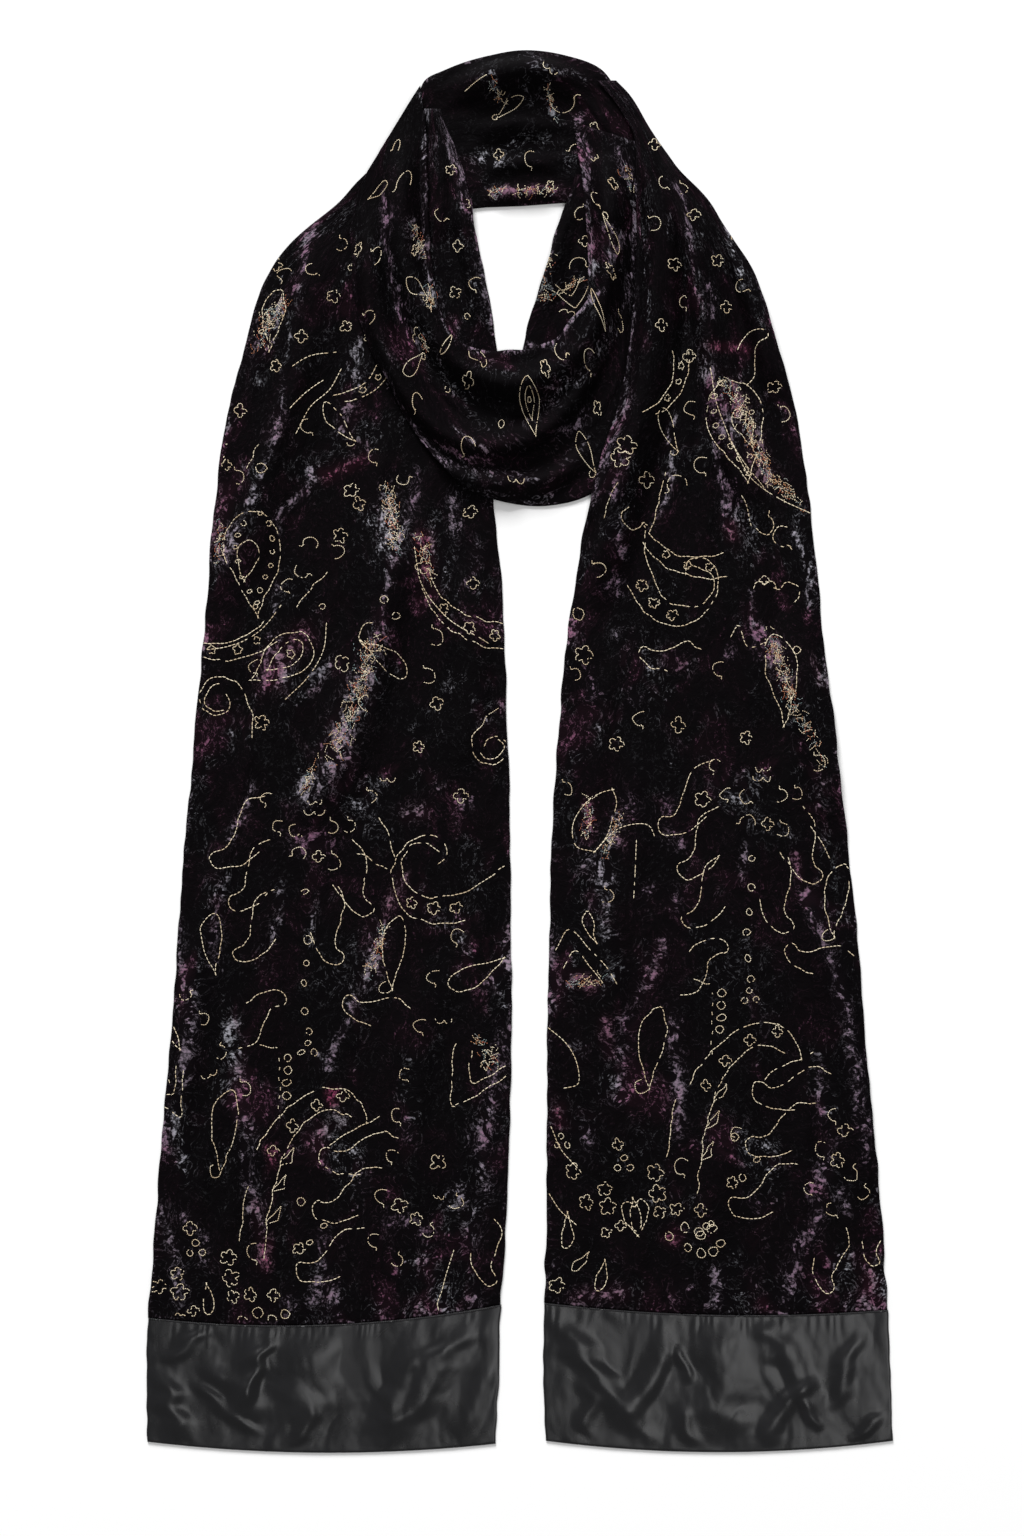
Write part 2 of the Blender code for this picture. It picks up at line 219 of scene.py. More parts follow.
NECK_BACK_FOLDS = named(Fold, (
    (((-52, 412), (-24, 430), (4, 436), (30, 431), (50, 420)), 12, 19, 15),
    (((-32, 392), (-6, 400), (26, 396)), 10, 12, 6),
    (((-26, 372), (4, 377), (32, 373)), 7, 8, 4),
    (((-30, 355), (4, 358), (32, 357)), 5, 7, 5),
))
NECK_SIDE_FOLDS = (Fold(((33, 352), (24, 322), (10, 275)), 13, 5, 6),)
COWL_FOLDS = named(Fold, (
    (((-76, 407), (-75, 353), (-71, 308), (-58, 273), (-32, 243), (-3, 235), (28, 247), (47, 272),
      (56, 308), (57, 352), (54, 394)), 13, 15, 15),
    (((-94, 359), (-97, 320), (-92, 270), (-70, 225), (-47, 202), (-18, 194), (11, 202), (32, 222),
      (48, 247), (60, 270)), 18, 9, 11),
    (((-80, 213), (-60, 189), (-35, 176), (-9, 171), (17, 174), (38, 190), (52, 212)), 9, 10, 7),
))
BAND_LEFT_FOLDS = named(Fold, (
    (((-185, -435), (-172, -400), (-168, -366)), 12, 9, 2.4),
    (((-90, -440), (-78, -405), (-60, -368)), 14, 10, 2.0),
))
BAND_RIGHT_FOLDS = named(Fold, (
    (((60, -432), (86, -400), (96, -364)), 14, 10, 2.4),
    (((196, -436), (178, -402), (168, -366)), 10, 14, 2.4),
))
print("large folds of the tails:", len(TAIL_LEFT_FOLDS + TAIL_RIGHT_FOLDS))

# %% [markdown]
# ## Smaller creases
#
# Between the large folds the cloth has shallow troughs and ridges. They are listed one by one too, but in
# the stretch's own measure: how far along it they start and end and how far across it they lie, both from 0
# to
# 1. Their width and height stay in millimetres. A negative height is a trough. Uneven lengths and heights
# keep the cloth from looking combed.

# %% Creases: from (along, across) to (along, across), width and height
Crease = namedtuple("Crease", "along0 across0 along1 across1 width rise")
TAIL_LEFT_CREASES = named(Crease, (
    (0.02, 0.10, 0.22, 0.16, 9, 1.6),
    (0.04, 0.25, 0.19, 0.19, 7, 1.9),
    (0.01, 0.33, 0.13, 0.29, 6, -1.2),
    (0.00, 0.45, 0.10, 0.52, 9, 1.0),
    (0.02, 0.64, 0.15, 0.60, 8, 1.2),
    (0.01, 0.83, 0.20, 0.88, 9, 1.6),
    (0.12, 0.06, 0.34, 0.05, 7, 1.8),
    (0.18, 0.31, 0.38, 0.22, 11, 1.4),
    (0.20, 0.52, 0.33, 0.57, 12, 1.1),
    (0.24, 0.76, 0.40, 0.70, 10, 1.2),
    (0.28, 0.93, 0.45, 0.90, 8, 1.5),
    (0.34, 0.11, 0.50, 0.20, 8, 2.0),
    (0.36, 0.43, 0.49, 0.35, 12, 1.8),
    (0.40, 0.30, 0.55, 0.42, 10, -1.5),
    (0.44, 0.60, 0.60, 0.58, 9, 2.0),
    (0.47, 0.80, 0.62, 0.76, 9, -1.2),
    (0.50, 0.12, 0.63, 0.07, 8, 1.7),
    (0.52, 0.26, 0.68, 0.38, 10, 1.7),
    (0.56, 0.50, 0.74, 0.62, 9, 2.2),
    (0.60, 0.70, 0.73, 0.82, 10, 1.5),
    (0.62, 0.32, 0.76, 0.48, 8, -1.4),
    (0.66, 0.14, 0.82, 0.30, 9, 1.8),
    (0.70, 0.42, 0.86, 0.60, 9, 1.4),
    (0.74, 0.06, 0.88, 0.08, 6, 1.2),
    (0.82, 0.90, 0.97, 0.86, 6, -1.2),
    (0.84, 0.78, 0.98, 0.74, 6, 1.4),
))
TAIL_RIGHT_CREASES = named(Crease, (
    (0.01, 0.09, 0.20, 0.13, 9, 1.6),
    (0.02, 0.29, 0.11, 0.26, 6, 1.4),
    (0.01, 0.45, 0.14, 0.49, 9, 1.7),
    (0.00, 0.60, 0.12, 0.54, 8, -1.2),
    (0.02, 0.72, 0.22, 0.83, 9, 2.0),
    (0.03, 0.93, 0.18, 0.90, 7, 1.5),
    (0.16, 0.24, 0.33, 0.18, 11, 1.7),
    (0.19, 0.40, 0.30, 0.46, 11, 1.1),
    (0.22, 0.06, 0.40, 0.07, 8, 1.6),
    (0.26, 0.67, 0.41, 0.60, 11, 1.4),
    (0.30, 0.88, 0.46, 0.80, 9, 2.1),
    (0.33, 0.32, 0.45, 0.24, 9, 1.8),
    (0.38, 0.14, 0.54, 0.20, 9, 1.8),
    (0.42, 0.48, 0.54, 0.44, 10, -1.3),
    (0.45, 0.70, 0.60, 0.66, 10, 1.8),
    (0.47, 0.95, 0.62, 0.92, 7, 1.4),
    (0.50, 0.30, 0.66, 0.34, 9, 1.9),
    (0.54, 0.78, 0.70, 0.74, 8, 2.0),
    (0.57, 0.55, 0.72, 0.52, 9, 2.0),
    (0.60, 0.10, 0.74, 0.16, 8, 1.5),
    (0.64, 0.42, 0.80, 0.40, 7, 2.1),
    (0.68, 0.64, 0.84, 0.60, 8, -1.5),
    (0.72, 0.90, 0.86, 0.86, 7, 1.6),
    (0.74, 0.28, 0.90, 0.32, 7, 1.8),
    (0.80, 0.52, 0.96, 0.50, 8, 1.8),
    (0.84, 0.74, 0.97, 0.70, 7, 1.4),
))
COWL_CREASES = named(Crease, (
    (0.04, 0.12, 0.30, 0.10, 4, -1.3),
    (0.06, 0.44, 0.26, 0.38, 5, 1.3),
    (0.10, 0.66, 0.34, 0.60, 5, -1.4),
    (0.16, 0.84, 0.40, 0.90, 5, 1.3),
    (0.24, 0.24, 0.52, 0.30, 6, -1.3),
    (0.30, 0.50, 0.62, 0.52, 5, 1.4),
    (0.34, 0.68, 0.66, 0.70, 4, -1.2),
    (0.36, 0.40, 0.58, 0.42, 4, -1.0),
    (0.40, 0.80, 0.68, 0.82, 4, 1.1),
    (0.38, 0.90, 0.62, 0.92, 3, -1.0),
    (0.44, 0.58, 0.72, 0.60, 4, 1.1),
    (0.50, 0.16, 0.70, 0.12, 5, 1.2),
    (0.60, 0.36, 0.84, 0.34, 5, -1.5),
    (0.66, 0.56, 0.88, 0.48, 5, 1.4),
    (0.70, 0.20, 0.94, 0.26, 5, 1.4),
    (0.78, 0.10, 0.97, 0.12, 4, -1.2),
    (0.80, 0.74, 0.96, 0.70, 5, -1.3),
))
NECK_BACK_CREASES = named(Crease, (
    (0.10, 0.30, 0.50, 0.26, 5, -1.4),
    (0.16, 0.44, 0.80, 0.48, 5, 1.6),
    (0.22, 0.60, 0.62, 0.56, 4, -1.2),
    (0.40, 0.70, 0.92, 0.66, 4, 1.4),
    (0.20, 0.84, 0.74, 0.82, 3, -1.1),
    (0.55, 0.20, 0.90, 0.34, 5, 1.5),
    (0.08, 0.12, 0.44, 0.08, 5, 1.0),
))
NECK_SIDE_CREASES = named(Crease, (
    (0.08, 0.50, 0.60, 0.40, 5, 1.5),
    (0.30, 0.74, 0.86, 0.60, 5, -1.3),
    (0.20, 0.22, 0.70, 0.16, 3, -0.9),
))
BAND_LEFT_CREASES = named(Crease, (
    (0.02, 0.35, 0.66, 0.27, 7, 1.8),
    (0.04, 0.44, 0.80, 0.42, 26, 2.6),
    (0.30, 0.22, 0.80, 0.30, 16, 2.0),
    (0.04, 0.90, 1.00, 0.68, 22, 3.4),
    (0.36, 0.03, 1.00, 0.12, 13, 2.6),
    (0.44, 0.12, 0.90, 0.32, 9, 1.8),
    (0.02, 0.18, 0.36, 0.06, 10, 1.6),
    (0.10, 0.60, 0.60, 0.62, 18, -1.2),
    (0.60, 0.48, 0.98, 0.40, 8, 1.4),
    (0.30, 0.97, 0.98, 0.93, 12, 1.4),
))
BAND_RIGHT_CREASES = named(Crease, (
    (0.02, 0.04, 1.00, 0.30, 16, 3.2),
    (0.20, 0.375, 0.52, 0.43, 5, 1.8),
    (0.00, 0.50, 1.00, 0.53, 26, 3.0),
    (0.10, 0.92, 0.76, 0.83, 10, 2.2),
    (0.44, 0.77, 1.00, 0.62, 12, 2.6),
    (0.60, 0.735, 0.88, 0.78, 5, 1.4),
    (0.10, 0.22, 0.50, 0.24, 12, -1.4),
    (0.50, 0.12, 0.96, 0.13, 9, 1.6),
    (0.62, 0.38, 0.98, 0.42, 8, 1.6),
    (0.02, 0.66, 0.40, 0.70, 14, 1.6),
    (0.76, 0.97, 0.98, 0.88, 9, 1.5),
))
print("creases of the tails:", len(TAIL_LEFT_CREASES + TAIL_RIGHT_CREASES))

# %% [markdown]
# ## From tables to a surface
#
# These helpers turn the tables into heights. The lower face of a stretch rests on whatever lies under it,
# which is how the real layers stack, and the folds are added on top.

# %% Curves, distances and ridges
REST_GAP, REST_MARGIN, REST_SLOPE, SLOPE_ALLOWANCE = 0.5, 5.0, 16.0, 1.15
CAD_WALL = 2.4


def smooth_step(value):
    """Rise from 0 to 1 with level ends."""
    t = np.clip(value, 0.0, 1.0)
    return t * t * (3.0 - 2.0 * t)


def through(rows, places):
    """Rows of a smooth curve at the given places, 0 at its start and 1 at its end."""
    rows = np.array(rows, dtype=float)
    pairs = rows[:, :4] if rows.shape[1] >= 4 else np.hstack([rows[:, :2], rows[:, :2]])
    middle = 0.5 * (pairs[:, 0:2] + pairs[:, 2:4])
    steps = np.linalg.norm(np.diff(middle, axis=0), axis=1)
    run = np.concatenate([[0.0], np.cumsum(steps)])
    slope = np.gradient(rows, run, axis=0)
    at = np.asarray(places) * run[-1]
    low = np.clip(np.searchsorted(run, at, side="right") - 1, 0, len(run) - 2)
    span = (run[low + 1] - run[low])[:, None]
    t = ((at - run[low]) / span[:, 0])[:, None]
    start = rows[low] * (2 * t**3 - 3 * t**2 + 1) + slope[low] * span * (t**3 - 2 * t**2 + t)
    finish = rows[low + 1] * (3 * t**2 - 2 * t**3) + slope[low + 1] * span * (t**3 - t**2)
    return start + finish


def nearest(x, y, line):
    """Distance to a line, its side (+1 left), how far along it is, 0 to 1, and its length."""
    start = line[:-1]
    step = line[1:] - start
    length = np.linalg.norm(step, axis=1)
    run = np.concatenate([[0.0], np.cumsum(length)])
    away_x = x[:, None] - start[None, :, 0]
    away_y = y[:, None] - start[None, :, 1]
    t = np.clip((away_x * step[:, 0] + away_y * step[:, 1]) / length**2, 0.0, 1.0)
    gap_x = away_x - t * step[:, 0]
    gap_y = away_y - t * step[:, 1]
    distance = np.hypot(gap_x, gap_y)
    best = np.argmin(distance, axis=1)
    row = np.arange(len(x))
    side = np.sign(step[best, 0] * gap_y[row, best] - step[best, 1] * gap_x[row, best])
    along = (run[best] + t[row, best] * length[best]) / run[-1]
    return distance[row, best], side, along, run[-1]


def ridge(x, y, fold):
    """Height of one large fold over the points."""
    line = through(fold.line, np.linspace(0, 1, 8 * len(fold.line)))
    distance, side, along, length = nearest(x, y, line)
    fade = min(FOLD_FADE / length, LONGEST_FADE)
    flank = np.where(side >= 0.0, fold.left, fold.right)
    bell = 0.5 + 0.5 * np.cos(math.pi * np.clip(distance / flank, 0.0, 1.0))
    return fold.rise * bell * smooth_step(along / fade) * smooth_step((1.0 - along) / fade)


def inside_distance(x, y, loop):
    """Distance to a closed outline, more than zero inside it."""
    closed = np.vstack([loop, loop[:1]])
    distance = nearest(x, y, closed)[0]
    x1, y1 = closed[:-1, 0], closed[:-1, 1]
    x2, y2 = closed[1:, 0], closed[1:, 1]
    spans = (y1 > y[:, None]) != (y2 > y[:, None])
    rise = np.where(y2 == y1, 1.0, y2 - y1)
    cross_x = x1 + (y[:, None] - y1) * (x2 - x1) / rise
    crossings = np.sum(spans & (x[:, None] < cross_x), axis=1)
    return np.where(crossings % 2 == 1, distance, -distance)


print("a ridge 9 mm high measures", round(float(ridge(np.array([-100.0]), np.array([58.0]),
                                                    TAIL_LEFT_FOLDS[1])[0]), 1), "mm near its crest")

# %% [markdown]
# ## One stretch of cloth
#
# A class keeps each stretch's tables together. Its grid is closer near the edges, so that the folded edge
# of the cloth can be rounded. The crushed pile is also in the shape: a seeded noise, drawn out along the
# cloth, lifts it by less than a millimetre. COARSE, MIDDLING and FINE are the sizes of that noise, across
# and along, with a step of its seed.

# %% The stretch
HEM = (0.0, 0.35, 0.9, 1.7, 2.9)
COARSE, MIDDLING, FINE = (17.0, 44.0, 0.0), (8.5, 19.0, 5.0), (4.6, 8.0, 9.0)
CREASE_SWAY, CREASE_SWAYS, CREASE_FADE = 0.035, 7.0, 0.3
EDGE_SWAY, EDGE_SWAY_LENGTH, EDGE_CALM = 1.1, 13.0, 5.0
COVER_MARGIN, COVER_FADE = 4.0, 8.0
GATHER_PITCH, ROUNDING = 6.4, 0.85


def places(length, step):
    """Places from 0 to 1 about one step apart, closer at both edges."""
    inner = np.linspace(HEM[-1], length - HEM[-1], max(3, int(round((length - 2 * HEM[-1]) / step))))
    return np.concatenate([HEM[:-1], inner, length - np.array(HEM[-2::-1])]) / length


def waver(values, scale, seed):
    """A seeded wavering value, about -0.5 to 0.5, for each of the values."""
    return np.array([noise.noise(Vector((v / scale, 0.37, seed))) for v in values])


class Stretch:
    """One stretch of cloth that shows."""

    def __init__(self, name, sections, folds, creases, below=(), wall=2.0, crush=0.8, gathers=0.0,
                 seed=1):
        self.name, self.sections, self.folds, self.creases = name, sections, folds, creases
        self.below, self.wall, self.crush, self.gathers = below, wall, crush, gathers
        self.seed, self.above, self.tree = seed, (), None

    def outline(self):
        """Closed outline of the plan."""
        rows = through(self.sections, np.linspace(0, 1, 48))
        u = np.linspace(0.0, 1.0, 8)[None, :]
        x, y = self.spread(rows, u)
        grid = np.stack([x, y], axis=-1)
        return np.vstack([grid[0, :-1], grid[:-1, -1], grid[-1, :0:-1], grid[:0:-1, 0]])

    @staticmethod
    def spread(rows, u):
        """Points across each cross line."""
        x = rows[:, 0:1] * (1 - u) + rows[:, 2:3] * u
        y = rows[:, 1:2] * (1 - u) + rows[:, 3:4] * u
        return x, y - rows[:, 4:5] * 4.0 * u * (1.0 - u)

    def underside(self, x, y):
        """Height of the lower face over each point, resting on what lies under it."""
        height = np.zeros_like(x)
        for lower in self.below:
            reach = inside_distance(x, y, lower.outline()) + REST_MARGIN + REST_SLOPE
            top = lower.underside(x, y) + CAD_WALL * SLOPE_ALLOWANCE + REST_GAP
            height = np.maximum(height, top * smooth_step(reach / REST_SLOPE))
        folds = np.zeros_like(x)
        for fold in self.folds:
            high = ridge(x, y, fold)
            folds = np.maximum(folds, high) + CROSSING_SHARE * np.minimum(folds, high)
        return height + folds

    def small_relief(self, s, u, width, length):
        """Creases, crushed pile and the gathers of a seam, in the cloth's own measure."""
        total = np.zeros_like(u)
        for k, crease in enumerate(self.creases):
            t = (s - crease.along0) / (crease.along1 - crease.along0)
            centre = crease.across0 + t * (crease.across1 - crease.across0)
            sway = waver(s[:, 0], 1.0 / CREASE_SWAYS, self.seed + 3.7 * k)
            centre = centre + CREASE_SWAY * sway[:, None]
            bell = np.exp(-((u - centre) * width / (0.62 * crease.width)) ** 2)
            total += crease.rise * bell * smooth_step(t / CREASE_FADE) * smooth_step((1 - t) / CREASE_FADE)
        p, q = u * width, s * length
        flat = np.stack([p.ravel(), q.ravel()], axis=1)
        grain = [np.array([noise.noise(Vector((a / wide, b / long, self.seed + step))) for a, b in flat])
                 for wide, long, step in (COARSE, MIDDLING, FINE)]
        rough = (grain[0] + 0.75 * np.abs(grain[1]) + 0.40 * grain[2]).reshape(u.shape)
        if self.gathers:
            across = self.u * self.width
            phase = across / GATHER_PITCH + 2.6 * waver(across, 17.0, self.seed)
            depth = np.clip(0.45 + 1.3 * waver(across, 26.0, self.seed + 2.0), 0.0, 1.0)
            reach = 7.0 + 9.0 * waver(across, 9.0, self.seed + 4.0)
            total += self.gathers * (depth * np.cos(2 * math.pi * phase))[None, :] * np.exp(
                -(q / np.clip(reach, 3.0, 12.0)[None, :]) ** 2)
        return total + self.crush * rough

    def lay(self, step_along, step_across):
        """Work out the mid-surface, its normals and the measures of the grid."""
        length = float(np.sum(np.linalg.norm(np.diff(self.middle_line(), axis=0), axis=1)))
        first = through(self.sections, np.linspace(0, 1, 9))
        widths = np.hypot(first[:, 2] - first[:, 0], first[:, 3] - first[:, 1])
        self.length, self.width = length, float(np.mean(widths))
        self.s = places(length, step_along)
        self.u = places(self.width, step_across)
        rows = through(self.sections, self.s)
        for column, step in ((0, 0.3), (2, 0.6)):
            rows[:, column] += EDGE_SWAY * waver(self.s * length, EDGE_SWAY_LENGTH, self.seed + step)
        s, u = np.broadcast_arrays(self.s[:, None], self.u[None, :])
        x, y = self.spread(rows, self.u[None, :])
        across = np.hypot(rows[:, 2] - rows[:, 0], rows[:, 3] - rows[:, 1])[:, None]
        under = self.underside(x.ravel(), y.ravel()).reshape(x.shape)
        relief = self.small_relief(s, u, across, length)
        quiet = np.ones_like(x)
        for upper in self.above:
            inside = inside_distance(x.ravel(), y.ravel(), upper.outline()).reshape(x.shape)
            quiet = np.minimum(quiet, 1.0 - smooth_step((inside + COVER_MARGIN) / COVER_FADE))
        edge = np.minimum(np.minimum(u, 1 - u) * across, np.minimum(s, 1 - s) * length)
        relief = relief * (0.25 + 0.75 * smooth_step(edge / EDGE_CALM)) * quiet
        z = np.maximum(under + relief, 0.0) + 0.5 * self.wall
        point = np.stack([x, y, z], axis=-1)
        normal = np.cross(np.gradient(point, axis=1), np.gradient(point, axis=0))
        normal = normal / np.linalg.norm(normal, axis=-1, keepdims=True)
        normal = normal * np.sign(normal[..., 2:3])
        round_off = np.sqrt(1.0 - (1.0 - np.clip(edge / (ROUNDING * self.wall), 0, 1)) ** 2)
        self.point, self.normal, self.half = point, normal, 0.5 * self.wall * round_off
        self.edge, self.plan_x, self.plan_y = edge, x, y
        self.top = point + normal * self.half[..., None]
        self.area = float(np.sum(np.linalg.norm(np.cross(
            np.diff(point, axis=0)[:, :-1], np.diff(point, axis=1)[:-1]), axis=-1)))

    def middle_line(self):
        """Points down the middle of the stretch."""
        rows = through(self.sections, np.linspace(0, 1, 120))
        return 0.5 * (rows[:, 0:2] + rows[:, 2:4])

    def on_top(self, s, u, lift):
        """Points on the upper face at places along and across, lifted a little."""
        i = np.interp(s, self.s, np.arange(len(self.s)))
        j = np.interp(u, self.u, np.arange(len(self.u)))
        i0 = np.clip(i.astype(int), 0, len(self.s) - 2)
        j0 = np.clip(j.astype(int), 0, len(self.u) - 2)
        a, b = (i - i0)[:, None], (j - j0)[:, None]
        found = 0
        for grid, share in ((self.top, 1.0), (self.normal, lift)):
            found = found + share * ((1 - a) * (1 - b) * grid[i0, j0] + a * (1 - b) * grid[i0 + 1, j0]
                                     + (1 - a) * b * grid[i0, j0 + 1] + a * b * grid[i0 + 1, j0 + 1])
        return found

    def seen_from_above(self, x, y):
        """Places along and across of the cloth under points of the plan."""
        columns = len(self.u)
        if self.tree is None:
            self.tree = kdtree.KDTree(self.plan_x.size)
            for k, (a, b) in enumerate(zip(self.plan_x.ravel(), self.plan_y.ravel())):
                self.tree.insert((a, b, 0.0), k)
            self.tree.balance()
        near = np.array([self.tree.find((a, b, 0.0))[1] for a, b in zip(x, y)])
        i = np.clip(near // columns, 1, len(self.s) - 2)
        j = np.clip(near % columns, 1, len(self.u) - 2)
        plan = np.stack([self.plan_x, self.plan_y], axis=-1)
        along = (plan[i + 1, j] - plan[i - 1, j]) / (self.s[i + 1] - self.s[i - 1])[:, None]
        across = (plan[i, j + 1] - plan[i, j - 1]) / (self.u[j + 1] - self.u[j - 1])[:, None]
        away = np.stack([x, y], axis=-1) - plan[i, j]
        area = along[:, 0] * across[:, 1] - along[:, 1] * across[:, 0]
        s = self.s[i] + (away[:, 0] * across[:, 1] - away[:, 1] * across[:, 0]) / area
        u = self.u[j] + (along[:, 0] * away[:, 1] - along[:, 1] * away[:, 0]) / area
        return s, u


neck_back = Stretch("neck_back", NECK_BACK_SECTIONS, NECK_BACK_FOLDS, NECK_BACK_CREASES, seed=3)
tail_left = Stretch("tail_left", TAIL_LEFT_SECTIONS, TAIL_LEFT_FOLDS, TAIL_LEFT_CREASES,
                    below=(neck_back,), seed=11)
neck_side = Stretch("neck_side_right", NECK_SIDE_SECTIONS, NECK_SIDE_FOLDS, NECK_SIDE_CREASES,
                    below=(neck_back,), crush=0.6, seed=23)
cowl = Stretch("cowl", COWL_SECTIONS, COWL_FOLDS, COWL_CREASES,
               below=(tail_left, neck_side, neck_back), crush=0.6, seed=31)
tail_right = Stretch("tail_right", TAIL_RIGHT_SECTIONS, TAIL_RIGHT_FOLDS, TAIL_RIGHT_CREASES,
                     below=(cowl, neck_side, neck_back), seed=47)
band_left = Stretch("satin_band_left", BAND_LEFT_SECTIONS, BAND_LEFT_FOLDS, BAND_LEFT_CREASES,
                    wall=1.5, crush=0.28, gathers=0.5, seed=53)
band_right = Stretch("satin_band_right", BAND_RIGHT_SECTIONS, BAND_RIGHT_FOLDS, BAND_RIGHT_CREASES,
                     wall=1.5, crush=0.28, gathers=0.5, seed=61)
neck_back.above = (tail_left, neck_side, cowl, tail_right)
tail_left.above = (cowl,)
neck_side.above = (cowl,)
cowl.above = (tail_right,)
STEPS = {"neck_back": (1.6, 1.5), "tail_left": (3.0, 1.55), "neck_side_right": (1.6, 1.3),
         "cowl": (1.8, 1.3), "tail_right": (3.0, 1.55), "satin_band_left": (1.8, 1.1),
         "satin_band_right": (1.8, 1.1)}
stretches = [neck_back, tail_left, neck_side, cowl, tail_right, band_left, band_right]
FROM_TOP = [tail_right, cowl, tail_left, neck_side, neck_back, band_left, band_right]
for stretch in stretches:
    stretch.lay(*STEPS[stretch.name])
    print(stretch.name, "grid", stretch.point.shape[:2], "length", round(stretch.length),
          "mm, width", round(stretch.width), "mm, area", round(stretch.area), "mm2")


def topmost(x, y):
    """Number in FROM_TOP of the stretch that shows at each point, or -1."""
    found = np.full(len(x), -1)
    for number, stretch in enumerate(FROM_TOP):
        inside = inside_distance(x, y, stretch.outline()) > -0.5
        found = np.where((found < 0) & inside, number, found)
    return found

# %% [markdown]
# ## Shader arithmetic
#
# A procedural material is a lot of small sums. This class wraps a socket so that the sums can be written as
# ordinary expressions, and each expression adds its Math node. One method makes any other node.

# %% A small language for materials


class Wire:
    """A socket whose sums become Math nodes."""

    def __init__(self, finish, socket):
        self.finish, self.socket = finish, socket

    def sum_with(self, operation, first, second=None, clamp=False):
        inputs = {0: first} if second is None else {0: first, 1: second}
        return self.finish.node("ShaderNodeMath", {"operation": operation, "use_clamp": clamp}, inputs)

    def __add__(self, other):
        return self.sum_with("ADD", self, other)

    def __radd__(self, other):
        return self.sum_with("ADD", other, self)

    def __sub__(self, other):
        return self.sum_with("SUBTRACT", self, other)

    def __rsub__(self, other):
        return self.sum_with("SUBTRACT", other, self)

    def __mul__(self, other):
        return self.sum_with("MULTIPLY", self, other)

    def clamped(self):
        return self.sum_with("ADD", self, 0.0, clamp=True)

    def size(self):
        return self.sum_with("ABSOLUTE", self)


class Finish:
    """A material being built."""

    def __init__(self, name):
        self.material = bpy.data.materials.new(name)
        self.material.use_nodes = True
        self.tree = self.material.node_tree
        self.tree.nodes.clear()

    def node(self, kind, settings=None, inputs=None, output=0):
        """Any node: its settings first, then the values or links of its sockets."""
        made = self.tree.nodes.new(kind)
        for key, value in (settings or {}).items():
            if key == "stops":
                ramp = made.color_ramp
                while len(ramp.elements) < len(value):
                    ramp.elements.new(0.5)
                for element, (place, colour) in zip(ramp.elements, value):
                    element.position, element.color = place, colour
            else:
                setattr(made, key, value)
        for key, value in (inputs or {}).items():
            if isinstance(value, Wire):
                self.tree.links.new(value.socket, made.inputs[key])
            else:
                made.inputs[key].default_value = value
        return Wire(self, made.outputs[output])

    def noise(self, where, scale, detail=3.0, rough=0.55, distortion=0.0):
        return self.node("ShaderNodeTexNoise", {"noise_dimensions": "3D"},
                         {"Vector": where, "Scale": scale, "Detail": detail, "Roughness": rough,
                          "Distortion": distortion})

    def between(self, value, low, high):
        """0 below low, 1 above high, smooth between."""
        return self.node("ShaderNodeMapRange", {"interpolation_type": "SMOOTHSTEP", "clamp": True},
                         {"Value": value, "From Min": low, "From Max": high})

    def mix(self, factor, first, second):
        """Blend of two colours."""
        return self.node("ShaderNodeMix", {"data_type": "RGBA", "clamp_factor": True},
                         {0: factor, 6: first, 7: second}, output=2)

    def stretch(self, where, scale, place=(0, 0, 0), turn=0.0):
        return self.node("ShaderNodeMapping", None,
                         {"Vector": where, "Location": place, "Rotation": (0, 0, turn),
                          "Scale": scale})

    def finish(self, shader):
        out = self.tree.nodes.new("ShaderNodeOutputMaterial")
        self.tree.links.new(shader.socket, out.inputs["Surface"])
        return self.material


print("material language ready")

# %% [markdown]
# ## Crushed velvet
#
# Velvet is dark where one looks into the pile and shines where the pile lies over. Crushing presses it in
# all directions, so a black velvet shows small crisp flecks of plum and steel grey sheen, and thin veins.
# Here that sheen is painted into the base colour as highlights. Two stretched noises are cut at a
# threshold, which gives painted flecks with hard edges. A smooth blend would look like fog. Where a fold
# shows more light the threshold drops, so the painted highlights grow and join. A vertex colour called
# lights says where: red for steel grey, green for plum, blue for wine. The material reads the piece's own
# UV map, whose units are metres of cloth, so the flecks run along every stretch.

# %% Velvet
# The pile's own black, then the colours of the sheen that is painted into it as highlights
VELVET_BLACK = (0.0016, 0.0012, 0.0016, 1)
STEEL_SHEEN = (0.35, 0.37, 0.40, 1)
PLUM_SHEEN = (0.225, 0.125, 0.200, 1)
WINE_SHEEN = (0.26, 0.038, 0.10, 1)


